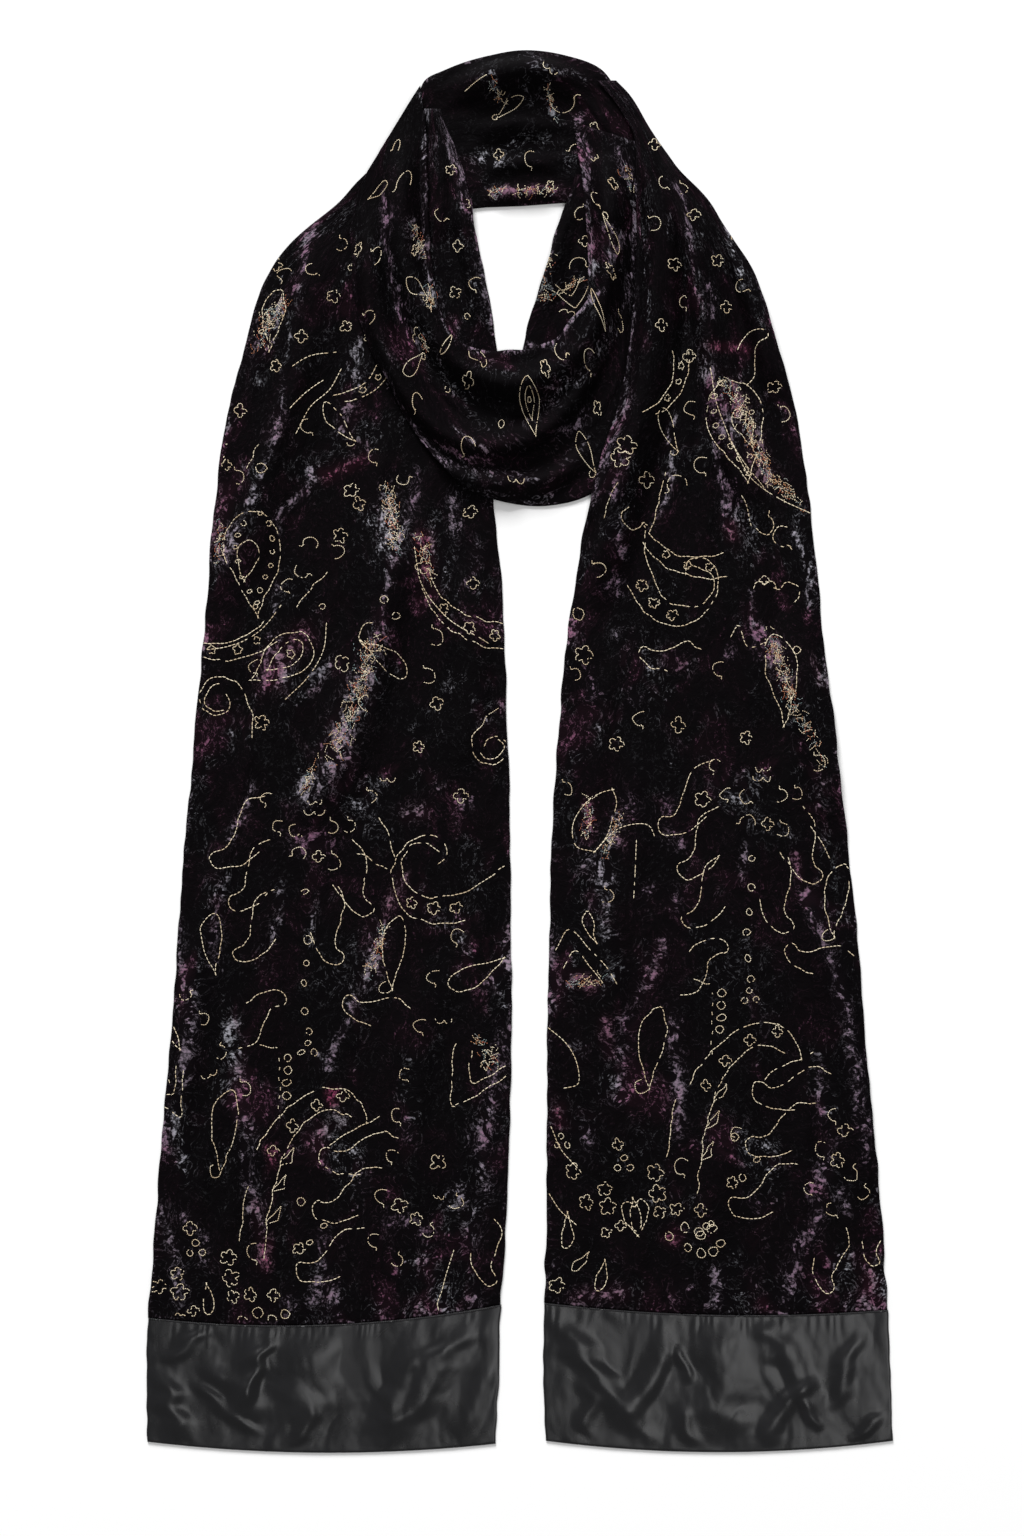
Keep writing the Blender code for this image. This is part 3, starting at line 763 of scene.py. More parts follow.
def crushed_velvet(name, shift, strength):
    """Black crushed velvet with coloured sheen painted into the pile as highlights."""
    f = Finish(name)
    cloth = f.node("ShaderNodeUVMap", {"uv_map": "cloth"})
    cloth = f.stretch(cloth, (1, 1, 1), (shift, shift * 0.7, 0))
    lights = f.node("ShaderNodeVertexColor", {"layer_name": "lights"})
    parts = [f.node("ShaderNodeSeparateColor", None, {0: lights}, output=k) for k in range(3)]
    long_way = f.stretch(cloth, (1.0, 0.58, 1.0))
    slant = f.stretch(cloth, (1.0, 0.72, 1.0), turn=0.45)
    streak = f.noise(long_way, 118.0, 4.0, 0.58, 1.8)
    flake = f.noise(slant, 230.0, 3.0, 0.60, 1.2)
    grain = f.noise(cloth, 560.0, 3.0, 0.65)
    clumps = f.between(f.noise(long_way, 38.0, 4.0, 0.64, 0.9), 0.48, 0.62)
    wide = f.between(f.noise(long_way, 12.0, 2.0, 0.5, 0.4), 0.44, 0.60)
    hue = f.between(f.noise(long_way, 30.0, 3.0, 0.6), 0.44, 0.56)
    # Painted sheen: charted highlights from the lights colour, plus mottled highlights all over the pile
    charted = parts[0] + parts[1] + parts[2]
    mottled_sheen = (0.04 + clumps * (0.20 + wide * 0.34)) * strength
    amount = (charted + mottled_sheen).clamped()
    body = streak * 0.55 + flake * 0.30 + grain * 0.15
    facets = f.between(body, 0.628 - amount * 0.118, 0.655 - amount * 0.098)
    veins = f.between(1 - (streak * 2 - 1).size(), 0.968 - amount * 0.035, 0.994)
    broken = f.between(grain, 0.40, 0.58)
    shade = f.between(flake, 0.40, 0.59)
    # lit is where the pile carries a painted highlight; steel, plum and wine below mix that painted sheen
    # over the black
    lit = ((facets * (0.20 + broken * 0.80) + veins * broken * 0.55) * (0.25 + shade * 0.75)).clamped()
    steel = ((mottled_sheen * (1 - hue) * 1.5 + parts[0]) * lit).clamped()
    plum = ((mottled_sheen * (0.25 + hue * 0.75) * 1.5 + parts[1]) * (lit + 0.010)).clamped()
    wine = ((mottled_sheen * hue * 0.7 + parts[2]) * (lit + 0.04)).clamped()
    colour = f.mix(steel, VELVET_BLACK, STEEL_SHEEN)
    colour = f.mix(plum * 0.9, colour, PLUM_SHEEN)
    colour = f.mix(wine * 0.9, colour, WINE_SHEEN)
    height = streak * 0.8 + flake * 0.5 + grain * 0.12
    bump = f.node("ShaderNodeBump", None, {"Strength": 0.7, "Distance": 0.0014, "Height": height})
    shader = f.node("ShaderNodeBsdfPrincipled", None, {
        "Base Color": colour,
        "Roughness": 0.76 - lit * 0.16,
        "Normal": bump,
        "Specular IOR Level": 0.03,
        "Sheen Weight": 0.012,
        "Sheen Roughness": 0.28,
        "Sheen Tint": (0.70, 0.55, 0.70, 1),
    })
    return f.finish(shader)


velvet = crushed_velvet("velvet_crushed", 0.0, 1.0)
# The inner face shifts the noise and takes 0.8 of the mottled painted sheen
velvet_inner = crushed_velvet("velvet_inner_face", 0.37, 0.8)
print("velvet nodes:", len(velvet.node_tree.nodes))

# %% [markdown]
# ## Charcoal satin
#
# Satin has long floating threads on its face, so it mirrors the light softly and every pucker shows as a
# pale streak. The colour hardly changes: the low roughness and the creases do the work. A very fine weave
# and a slight unevenness in the gloss keep it from looking like plastic.

# %% Satin
SATIN_DARK = (0.0045, 0.0045, 0.0053, 1)
SATIN_LIGHT = (0.0070, 0.0070, 0.0082, 1)


def charcoal_satin(name):
    """Lustrous charcoal satin with a fine weave."""
    f = Finish(name)
    cloth = f.node("ShaderNodeUVMap", {"uv_map": "cloth"})
    warp = f.noise(f.stretch(cloth, (5200, 340, 1)), 1.0, 2.0)
    weft = f.noise(f.stretch(cloth, (420, 6000, 1)), 1.0, 2.0)
    cloud = f.noise(cloth, 26.0, 4.0, 0.6, 0.8)
    ripple = f.noise(f.stretch(cloth, (1.0, 0.62, 1.0), turn=0.6), 34.0, 1.4, 0.40, 1.1)
    colour = f.mix(f.between(cloud, 0.38, 0.66), SATIN_DARK, SATIN_LIGHT)
    height = ripple * 2.0 + warp * 0.022 + weft * 0.020
    bump = f.node("ShaderNodeBump", None, {"Strength": 0.8, "Distance": 0.0014, "Height": height})
    shader = f.node("ShaderNodeBsdfPrincipled", None, {
        "Base Color": colour,
        "Roughness": 0.23 + cloud * 0.10,
        "Normal": bump,
        "Specular IOR Level": 0.34,
    })
    return f.finish(shader)


satin = charcoal_satin("satin_charcoal")
print("satin nodes:", len(satin.node_tree.nodes))

# %% [markdown]
# ## Thread
#
# The drawings on the velvet are fine broken lines of gold, a stitch at a time. A few are rust or grey-teal.
# A dark thread closes the seam where each satin end meets the velvet.

# %% Thread materials


def thread_finish(name, colour, other):
    """Twisted thread with a slight change of colour along it."""
    f = Finish(name)
    here = f.node("ShaderNodeTexCoord", output=3)
    change = f.noise(here, 90.0, 2.0)
    twist = f.noise(here, 2600.0, 1.0)
    tone = f.mix(f.between(change, 0.4, 0.62), colour, other)
    bump = f.node("ShaderNodeBump", None, {"Strength": 0.4, "Distance": 0.0003, "Height": twist})
    shader = f.node("ShaderNodeBsdfPrincipled", None,
                    {"Base Color": tone, "Roughness": 0.46, "Normal": bump})
    return f.finish(shader)


gold_thread = thread_finish("thread_gold", (0.92, 0.80, 0.58, 1), (0.72, 0.56, 0.36, 1))
rust_thread = thread_finish("thread_rust", (0.46, 0.13, 0.07, 1), (0.55, 0.26, 0.12, 1))
teal_thread = thread_finish("thread_teal", (0.22, 0.30, 0.31, 1), (0.38, 0.40, 0.38, 1))
seam_thread = thread_finish("thread_seam", (0.004, 0.004, 0.005, 1), (0.007, 0.006, 0.008, 1))
print("threads ready")

# %% [markdown]
# ## Painted highlights in the pile
#
# Along some folds the pile is pressed over and catches the light, and that shine is painted into the colour
# as highlights. Each row of this table is one painted highlight: a line seen from above, how wide it
# spreads and how strong it is in grey, plum and wine. Its rim is made ragged with noise, because a smooth
# band would look painted on, and each cut edge gets a thin uneven painted highlight too. Thin lights are
# raised a little and broad ones held at full strength, so that both show. The noise that makes them ragged
# is given a seed, because without one Blender draws it afresh in each run.

# %% Painted fold highlights: line in squares of the chart, width in millimetres, strength of grey, plum and any wine
SQUARE = 6.4
CHART_ZERO = (51.925, 75.1)
Light = namedtuple("Light", "line width steel plum wine", defaults=(0,))
LEFT_LIGHTS = named(Light, (
    (((31.5, 22.3), (30.6, 25.3), (30.2, 27.5)), 2, .25, .8),
    (((30.2, 27.5), (29.6, 31.2), (29.0, 34.1), (28.4, 37.4)), 1.8, .5, .15),
    (((28.4, 37.4), (28.1, 41.2), (27.3, 44.2), (26.0, 47.9), (24.6, 51.6)), 1.8, .45, .35),
    (((30.2, 27.4), (29.4, 28.6), (28.6, 29.6)), 3, .2, .8, .2),
    (((28.4, 29.6), (27.4, 31.5), (26.2, 33.6), (25.6, 35.6)), 6, .7, .5, .15),
    (((26.2, 37.0), (25.6, 38.8)), 3, .6, .1),
    (((28.2, 41.0), (27.8, 42.6), (27.0, 44.0)), 5, .3, .6, .1),
    (((35.8, 33.8), (35.4, 36.0), (36.0, 38.2), (36.2, 39.6)), 4, .7, .25),
    (((34.8, 39.8), (34.4, 41.8), (33.6, 43.8)), 4.5, .6, .3),
    (((31.0, 46.2), (30.6, 48.1), (29.7, 49.9), (28.0, 51.4), (27.8, 53.6)), 2, .45, .5),
    (((31.0, 46.4), (31.2, 48.0)), 5, .6, .3),
    (((31.6, 47.8), (33.5, 47.0), (35.6, 46.4), (37.2, 45.6)), 4, .1, .3, .9),
    (((22.6, 47.5), (22.2, 50), (21.6, 53), (21.4, 56)), 6, .2, .65, .4),
    (((24.4, 52.0), (23.2, 53.6), (22.0, 56.6)), 5, .65, .4, .1),
    (((28.0, 57.0), (27.6, 59.5), (27.4, 62.0)), 2, .5, .3),
    (((31.2, 62.5), (29.6, 64.0), (28.0, 66.0), (26.6, 69.0)), 8, .15, .6, .6),
    (((27.4, 63.4), (26.8, 66.0), (26.2, 69.0)), 2, .3, .6),
    (((38.6, 48.5), (39.0, 51), (39.3, 54.0), (39.6, 55.5)), 6, .75, .2, .1),
    (((41.5, 46.4), (41.2, 50.4), (40.6, 52.0)), 3, .3, .75),
    (((40.8, 52.0), (39.8, 54.8), (38.8, 57.2), (38.4, 60.0), (38.0, 63.0)), 2, .5, .5),
    (((38.0, 63.0), (37.4, 66.0), (37.2, 68.0)), 5, .45, .55),
    (((42.0, 53.0), (42.6, 55.5), (42.8, 58.0)), 5, .1, .2, .8),
    (((45.2, 49.0), (45.4, 51.6), (45.2, 54.0)), 4, .4, .45),
    (((43.6, 58.6), (42.6, 60.0), (41.6, 60.6)), 4, .2, .3, .6),
    (((47.6, 53.6), (47.4, 56.5), (46.8, 59.0)), 3, .3, .3),
    (((36.8, 66.4), (35.6, 69.6), (34.4, 73.0), (33.4, 76.0)), 8, .8, .35, .1),
    (((35.0, 73.6), (33.6, 75.6), (31.6, 78.4), (29.6, 80.0)), 8, .6, .35),
    (((33.2, 65.4), (31.6, 68.0), (30.0, 69.6)), 5, .45, .2),
    (((25.6, 78.4), (24.6, 80.4), (23.6, 82.6), (23.0, 84.6)), 3, .45, .5),
    (((28.8, 83.8), (31.0, 84.2), (33.4, 84.0)), 7, .1, .8, .1),
    (((30.4, 78.0), (30.8, 80.0)), 5, .6, .3),
    (((39.8, 81.6), (41.6, 81.4), (43.0, 80.8)), 5, .5, .35, .2),
    (((46.4, 79.2), (46.4, 81.0)), 5, .3, .6),
    (((22.4, 87.0), (22.0, 90.5)), 4, .4, .2),
    (((28.4, 87.8), (27.8, 91.0), (27.0, 94.5)), 2.5, .5, .25),
    (((31.8, 89.0), (31.4, 92.0), (30.6, 95.0)), 2.5, .4, .2),
    (((21.6, 91.6), (21.4, 94.6), (21.0, 97.5)), 5, .35, .6),
    (((18.2, 93.0), (18.0, 96.0), (18.4, 99.0)), 4, .4, .4),
    (((19.6, 99.0), (19.0, 102.5), (18.6, 106), (18.0, 109.0)), 5, .5, .5),
    (((22.8, 101.0), (23.2, 104.0), (23.6, 107.0), (24.0, 108.6)), 4.5, .85, .15),
    (((38.4, 91.6), (37.4, 94.6), (36.6, 98.0), (35.2, 99.0)), 5, .6, .45, .1),
    (((35.0, 99.6), (34.6, 102.0), (33.6, 104.6), (32.6, 107.0)), 2.2, .4, .7),
    (((32.2, 105.0), (31.6, 107.0)), 4, .6, .3),
    (((40.4, 87.0), (39.6, 89.4), (38.8, 91.0)), 4, .4, .3, .4),
    (((51.0, 92.0), (50.6, 96.0), (49.0, 98.0), (48.4, 99.0)), 4, .35, .6, .1),
    (((50.6, 102.0), (50.0, 105.0), (49.0, 110.0), (48.0, 115.0)), 5, .3, .6),
    (((17.6, 110.0), (18.0, 114.0), (18.6, 118.0)), 4, .75, .2),
    (((15.8, 109.0), (16.4, 113.0), (16.6, 116.0)), 4, .2, .75),
    (((23.0, 109.6), (24.2, 111.8), (25.2, 114.0)), 4, .4, .6, .1),
    (((24.2, 114.0), (24.6, 117.0), (25.2, 119.6)), 4, .35, .65),
    (((25.4, 119.6), (26.0, 123.0), (26.4, 127.0)), 5, .25, .6, .3),
    (((26.4, 114.0), (27.4, 117.0)), 3, .1, .2, .7),
    (((26.8, 124.0), (26.2, 127.0)), 4, .1, .3, .8),
    (((17.0, 121.0), (19.0, 122.0), (20.0, 124.0), (20.2, 127.0)), 4, .35, .5),
    (((15.6, 119.6), (16.4, 123.0), (17.6, 127.0), (18.2, 131.0)), 4.5, .5, .5),
    (((28.0, 129.5), (29.6, 131.0)), 5, .3, .6),
    (((31.6, 127.6), (31.4, 130.4)), 5, .35, .65),
    (((33.6, 129.0), (33.0, 131.4)), 4.5, .4, .7),
    (((38.0, 122.0), (41.0, 122.4), (43.4, 123.4)), 6, .2, .6),
    (((45.6, 118.0), (46.6, 121.0), (47.4, 125.0)), 5, .4, .45),
    (((47.0, 112.0), (48.0, 116.0), (48.6, 120.0)), 4.5, .35, .5),
    (((36.2, 117.4), (36.4, 119.0)), 4, .1, .8),
    (((32.2, 122.6), (32.2, 126.0), (32.8, 128.0)), 3.5, .2, .6),
    (((42.6, 124.0), (42.0, 127.0)), 4, .4, .3),
    (((48.0, 129.0), (47.0, 131.0)), 5, .3, .5),
    (((33.0, 110.8), (34.4, 111.6), (32.0, 113.4), (32.0, 115.6)), 4, .8, .1, .2),
    (((33.2, 108.6), (33.2, 110.6)), 3, 0, .1, 1.0),
    (((40.0, 111.6), (41.4, 114.0)), 5, .2, .5),
))
RIGHT_LIGHTS = named(Light, (
    (((63.3, 28.0), (63.2, 32.0), (62.8, 35.5), (62.4, 39.8)), 1.8, .4, .3),
    (((62.6, 39.6), (62.8, 41.6)), 3, .8, .5),
    (((62.0, 42.2), (61.0, 44.6), (59.9, 47.0), (59.0, 50.8)), 4.5, .5, .6),
    (((66.6, 18.0), (67.9, 19.7), (68.6, 23.0), (69.2, 26.0)), 2.4, .5, .65),
    (((69.2, 26.0), (69.8, 29.0), (70.2, 31.8), (70.1, 33.8)), 1.8, .5, .1),
    (((70.1, 33.8), (70.4, 35.7), (70.9, 37.9)), 4, .7, .4, .1),
    (((70.9, 37.9), (71.4, 40.4), (72.3, 43.9)), 5, .3, .85),
    (((71.9, 20.0), (72.6, 23.5), (73.3, 26.0), (74.1, 28.0), (74.6, 29.3)), 1.8, .6, .1),
    (((70.6, 28.0), (71.1, 30.6), (70.9, 32.4)), 3, .35, .7),
    (((66.8, 21.6), (66.8, 23.6)), 2.5, .4, .1),
    (((69.4, 23.6), (69.7, 25.2)), 3, .5, 0),
    (((70.8, 34.4), (72.8, 34.8), (75.2, 35.0)), 3.5, .1, .2, .9),
    (((72.0, 37.8), (73.6, 40.6), (75.0, 43.6), (75.8, 46.4), (77.4, 48.6)), 7, .55, .35, .55),
    (((75.2, 31.6), (76.6, 33.9)), 2, .5, 0),
    (((67.4, 40.4), (67.0, 44.0), (67.0, 48.1), (65.9, 51.6), (65.0, 52.7)), 2, .6, .4),
    (((71.4, 44.0), (71.9, 46.2), (72.4, 49.6), (72.6, 52.7)), 2.2, .4, .6),
    (((72.6, 47.7), (73.0, 51.4)), 6, .1, .5),
    (((72.8, 52.0), (73.6, 54.0)), 5, .2, .3, .7),
    (((61.5, 48.1), (61.8, 50.5)), 3, .3, .7),
    (((61.5, 51.6), (61.8, 54.0), (62.4, 56.0)), 3, .45, .5),
    (((60.4, 58.0), (62.6, 59.0)), 5, .2, .7),
    (((61.4, 62.4), (61.8, 63.8)), 4, .5, .5),
    (((78.9, 52.5), (80.2, 54.8), (81.0, 59.2), (81.3, 61.3)), 2.5, .6, .3),
    (((76.9, 63.5), (78.0, 66.8), (79.1, 69.6)), 6, .7, .3, .4),
    (((75.0, 63.1), (76.7, 65.7)), 5, .15, .8),
    (((80.8, 65.7), (82.4, 68.9)), 3, .4, .4, .3),
    (((65.9, 65.2), (68.9, 66.5)), 5, .05, .4, .2),
    (((72.4, 64.8), (73.5, 65.7)), 4, .2, .5),
    (((58.9, 66.5), (59.2, 70.0)), 4, .1, .5),
    (((62.8, 69.1), (64.1, 70.0)), 4, .3, .5),
    (((74.6, 58.6), (75.2, 61.6), (76.2, 63.6)), 2.5, .35, .3),
    (((57.4, 61.4), (58.0, 64.6)), 4, .4, .3),
    (((58.9, 79.2), (58.8, 81.5), (58.5, 83.8)), 4, .3, .3, .6),
    (((61.9, 81.2), (61.2, 83.4), (60.2, 85.8)), 4.5, .9, .25),
    (((62.4, 79.6), (64.0, 81.2)), 6, .15, .5),
    (((66.2, 80.2), (67.2, 81.4)), 5, .1, .6),
    (((66.4, 83.4), (68.4, 84.4)), 5, .2, .65),
    (((61.4, 83.4), (62.7, 84.6)), 4, .2, .6, .3),
    (((57.8, 85.8), (60.0, 87.0), (61.0, 88.6)), 6, .6, .35),
    (((64.4, 88.6), (65.2, 89.4)), 4, .3, .6),
    (((67.8, 89.2), (67.8, 90.8)), 4.5, .25, .8),
    (((60.4, 88.6), (60.4, 91.6), (61.0, 94.6)), 4, .65, .2),
    (((61.6, 95.6), (61.0, 98.2)), 4, .7, .15),
    (((56.4, 97.6), (60.0, 98.4)), 5, .2, .3, .5),
    (((66.7, 93.1), (66.2, 94.5), (65.7, 96.4), (64.3, 98.5), (63.2, 100.6)), 4, .45, .75, .1),
    (((63.0, 101.0), (62.2, 104.0), (62.0, 108.4)), 4, .2, .6),
    (((67.0, 101.0), (67.4, 104.6), (67.8, 108.6), (67.8, 111.0), (67.6, 114.0)), 4.5, .4, .7),
    (((60.4, 101.6), (60.8, 106.2)), 4, .1, .45, .3),
    (((57.6, 103.6), (57.8, 106.2)), 4, .4, .2),
    (((61.0, 108.4), (62.2, 110.4)), 5, .4, .5),
    (((78.2, 82.8), (79.2, 84.0)), 4, .5, .2),
    (((74.8, 83.4), (74.2, 86.4), (74.2, 88.4)), 2.5, .4, .5),
    (((81.1, 78.6), (82.2, 80.8)), 4, .6, .2),
    (((82.2, 82.8), (82.6, 85.8)), 3, .6, 0),
    (((79.4, 85.2), (79.8, 88.0)), 3.5, .15, .5, .3),
    (((83.2, 85.2), (83.6, 89.2)), 2, .5, 0),
    (((80.2, 89.2), (81.0, 90.4)), 4, .1, .6),
    (((79.6, 87.4), (81.3, 91.2), (82.3, 94.0), (83.4, 96.9), (84.2, 100.4), (84.9, 104.0), (85.8, 107.5),
      (86.0, 111.0)), 3.5, .4, .8),
    (((81.8, 105.8), (82.0, 108.6), (81.8, 112.6)), 3, .2, .7),
    (((85.6, 108.0), (86.2, 112.6), (86.6, 116.4)), 3.5, .3, .65),
    (((55.2, 92.8), (55.0, 97.0), (55.2, 101.4)), 3, .3, .5),
    (((58.6, 112.0), (58.8, 115.2)), 4.5, .35, .7),
    (((55.6, 110.4), (56.2, 113.0)), 5, 0, .2, .5),
    (((83.4, 113.6), (82.2, 117.0), (81.4, 119.8), (81.6, 122.2), (80.4, 123.6), (79.2, 126.8),
      (78.5, 131.0)), 5, .35, .8),
    (((83.6, 118.6), (85.0, 121.4)), 4, .3, .6),
    (((84.6, 126.2), (83.6, 129.4)), 6, .5, .1),
    (((86.4, 127.4), (87.4, 129.0)), 5, .4, .2, .6),
    (((56.6, 130.0), (60.0, 129.0), (63.4, 129.6)), 5, .25, .55, .3),
    (((63.4, 128.6), (63.4, 129.6)), 4, .6, 0),
    (((68.0, 128.0), (69.0, 129.2)), 4, .2, .6),
    (((71.4, 126.0), (71.6, 129.0), (71.4, 131.2)), 4, .4, .6),
    (((66.9, 128.8), (67.2, 131.0)), 3, .2, .6, .2),
    (((73.8, 128.8), (74.6, 130.4)), 5, .5, .1),
    (((75.8, 129.8), (76.6, 131.0)), 4, .1, .5, .6),
    (((66.6, 123.0), (68.0, 124.4)), 5, 0, .3, .6),
    (((74.8, 119.4), (76.2, 121.0)), 5, .1, .55),
    (((55.4, 125.6), (55.8, 126.6)), 3.5, .3, .6),
))
NECK_LIGHTS = named(Light, (
    (((38.6, 18.0), (38.6, 21.3), (38.8, 24.6), (39.2, 28.0), (40.2, 31.3), (41.2, 33.4),
      (42.4, 34.8)), 2.2, .25, .85),
    (((38.9, 20.6), (38.9, 24.0)), 4, .1, .7),
    (((41.9, 8.8), (42.6, 11.6), (42.5, 14.4), (42.4, 17.0)), 2.2, .7, .25),
    (((42.6, 17.0), (42.6, 21.3), (43.1, 25.3)), 3, .35, .35),
    (((41.7, 25.3), (43.6, 28.8), (44.7, 32.9), (45.7, 34.1)), 2, .6, .4),
    (((41.0, 21.6), (41.6, 24.0), (42.2, 26.0)), 5, .6, .4, .1),
    (((41.8, 27.8), (42.8, 29.6), (43.4, 31.0)), 4.5, .75, .25),
    (((40.6, 29.8), (41.0, 32.0)), 3, .2, .7),
    (((44.4, 12.0), (45.2, 14.6), (46.0, 17.6), (47.0, 21.0), (48.0, 25.6), (49.0, 31.0),
      (49.4, 34.0)), 3, .5, .55),
    (((43.2, 12.8), (43.4, 15.0), (43.2, 16.8)), 3, .6, .2),
    (((45.6, 33.8), (47.2, 34.8), (49.5, 35.1), (51.8, 35.0), (53.2, 34.5), (55.5, 33.9), (56.4, 33.0),
      (57.5, 31.6), (58.7, 30.2), (60.0, 29.2)), 2, .5, .7),
    (((55.5, 33.8), (57.5, 31.6), (60.0, 29.2)), 2.5, .8, .6),
    (((55.0, 34.2), (56.2, 35.0)), 4, .6, .1),
    (((40.8, 30.4), (43.0, 34.6), (44.9, 38.2), (46.7, 40.0), (47.2, 42.1), (49.0, 43.3)), 3, .45, .1),
    (((51.8, 42.8), (54.1, 41.2), (55.9, 39.1), (58.2, 37.1), (60.4, 34.0), (61.6, 30.6)), 3.5, .45, .15),
    (((43.5, 44.2), (45.1, 45.1), (47.2, 45.8), (49.5, 46.3)), 2.6, .2, .75, .2),
    (((55.7, 44.0), (56.4, 43.0), (57.5, 42.3), (58.6, 40.6)), 3.5, .35, .6),
    (((45.0, 42.7), (46.4, 43.6), (48.0, 44.8), (49.5, 45.0)), 1.8, .6, .1),
    (((38.7, 37.3), (39.4, 39.4), (41.0, 41.9)), 1.8, .3, .5),
    (((41.0, 41.9), (42.6, 44.4), (44.6, 46.6), (46.2, 47.6)), 2.2, .4, .6),
    (((46.0, 46.9), (49.0, 47.9), (52.0, 48.3), (55.2, 47.9)), 2, .4, .15),
    (((45.0, 45.9), (48.0, 47.2), (51.6, 47.4), (55.0, 46.8)), 2, .35, .2),
    (((47.6, 49.0), (50.4, 49.8), (53.6, 49.8), (56.6, 48.6)), 2.4, .3, .2),
    (((56.0, 47.0), (57.6, 45.6), (59.0, 43.6)), 3, .4, .2),
    (((48.6, 7.4), (49.4, 9.0), (50.6, 10.6)), 5, .55, .05),
    (((52.8, 5.6), (53.6, 7.0)), 4, .4, .35),
    (((54.6, 8.0), (54.8, 10.4), (55.8, 12.2)), 3, .6, .1),
    (((60.4, 8.2), (62.0, 9.6), (63.4, 11.6)), 4, .12, .2),
    (((53.2, 7.4), (56.0, 7.2), (58.8, 8.4)), 1.8, .5, .1),
    (((46.6, 15.8), (49.6, 15.0), (53.0, 13.8), (55.6, 14.2)), 3.5, .6, .1),
    (((46.4, 15.9), (50.0, 16.2), (53.6, 15.7)), 2.5, .5, .15),
    (((48.6, 19.6), (51.0, 19.2), (54.0, 18.8), (56.4, 18.9)), 3.5, .2, .8, .4),
    (((57.8, 10.8), (57.6, 13.0), (58.6, 15.2), (58.8, 17.6), (58.6, 20.0)), 2.8, .5, .75),
    (((58.6, 20.0), (58.8, 22.8), (58.9, 25.6), (59.0, 28.0)), 2.6, .75, .5),
    (((61.4, 14.8), (62.4, 16.6), (63.0, 18.8)), 4, .4, .85),
    (((63.3, 18.0), (63.5, 20.8), (63.2, 23.8), (63.3, 26.0), (63.0, 27.7), (61.9, 30.9)), 3, .45, .65),
    (((62.6, 22.8), (61.8, 24.6), (61.2, 27.0)), 3.5, .35, .8),
    (((60.2, 22.4), (61.1, 23.7)), 3.5, .3, .5),
    (((59.2, 26.5), (60.0, 27.4)), 3, .7, .1),
    (((54.6, 27.6), (54.6, 30.6)), 4, .5, .05),
))


def in_plan(squares):
    """Points of the squared chart in millimetres of the plan."""
    squares = np.array(squares, dtype=float)
    return np.stack([(squares[:, 0] - CHART_ZERO[0]) * SQUARE,
                     (CHART_ZERO[1] - squares[:, 1]) * SQUARE], axis=1)


LIGHT_STEPS = np.linspace(0, 1, 12)
RAGGED_SEED = 7
noise.seed_set(RAGGED_SEED)
THIN, THIN_LIFT, LIGHT_REACH = 3, 1.25, 2.6
# Thin painted highlight along each cut edge: how far in, how wide, and its colours
RIM_IN, RIM_WIDTH, RIM_SHEEN_COLOURS = 1.3, 1.2, (0.30, 0.50, 0.03)
light_lines = []
for light in LEFT_LIGHTS + RIGHT_LIGHTS + NECK_LIGHTS:
    line = through(in_plan(light.line), LIGHT_STEPS)
    light_lines.append((light, line, topmost(line[:, 0], line[:, 1])))


def painted_fold_lights(stretch):
    """Strength of painted highlight in grey, plum and wine at each grid point, and a thin uneven painted
    highlight along each edge.
    """
    plan = np.stack([stretch.plan_x.ravel(), stretch.plan_y.ravel()], axis=1)
    ragged = np.array([3.4 * noise.noise_vector(Vector((a / 11.0, b / 17.0, 1.0)))
                       + 2.0 * noise.noise_vector(Vector((a / 4.2, b / 6.5, 2.0))) for a, b in plan])
    x, y = (plan + ragged[:, :2]).T
    total = np.zeros((len(x), 3))
    for light, line, shows_on in light_lines:
        own = (shows_on == FROM_TOP.index(stretch)).astype(float)
        reach = LIGHT_REACH * light.width
        near = ((x > line[:, 0].min() - reach) & (x < line[:, 0].max() + reach)
                & (y > line[:, 1].min() - reach) & (y < line[:, 1].max() + reach))
        if not own.any() or not near.any():
            continue
        distance, _, along, _ = nearest(x[near], y[near], line)
        thin = light.width < THIN
        bell = np.exp(-(distance / (light.width * (0.95 if thin else 1.1))) ** 2)
        ends = smooth_step(along / 0.2 + 0.3) * smooth_step((1 - along) / 0.2 + 0.3)
        share = bell * ends * np.interp(along, LIGHT_STEPS, own)
        colours = np.array([light.steel, light.plum, light.wine])
        share = share * (THIN_LIFT if thin else min(1.0, 1.0 / colours.sum()))
        total[near] += share[:, None] * colours
    # Painted highlight along each cut edge, where the pile catches the light
    rim = np.exp(-((stretch.edge.ravel() - RIM_IN) / RIM_WIDTH) ** 2)
    patchy = np.array([noise.noise(Vector((a / 31.0, b / 31.0, 4.0))) for a, b in zip(x, y)])
    rim = rim * np.clip(0.30 + 1.1 * patchy, 0.05, 0.8)
    total += rim[:, None] * np.array(RIM_SHEEN_COLOURS)
    return np.clip(total, 0, 1)


print("fold lights:", len(light_lines))

# %% [markdown]
# ## The cloth shells
#
# Each stretch becomes one closed shell: its upper face, its lower face and a rounded edge where the two
# meet. A Solidify modifier would give a square edge, so the two faces are made from the same grid, half a
# wall up and half a wall down, and the wall thins to nothing at the edge. A subdivided plane with cloth
# simulation was the other choice, but a laid cloth hardly moves and the photo gives its folds.

# %% Build the shells


def placed(name, data):
    """A new object in the scene."""
    made = bpy.data.objects.new(name, data)
    bpy.context.scene.collection.objects.link(made)
    return made


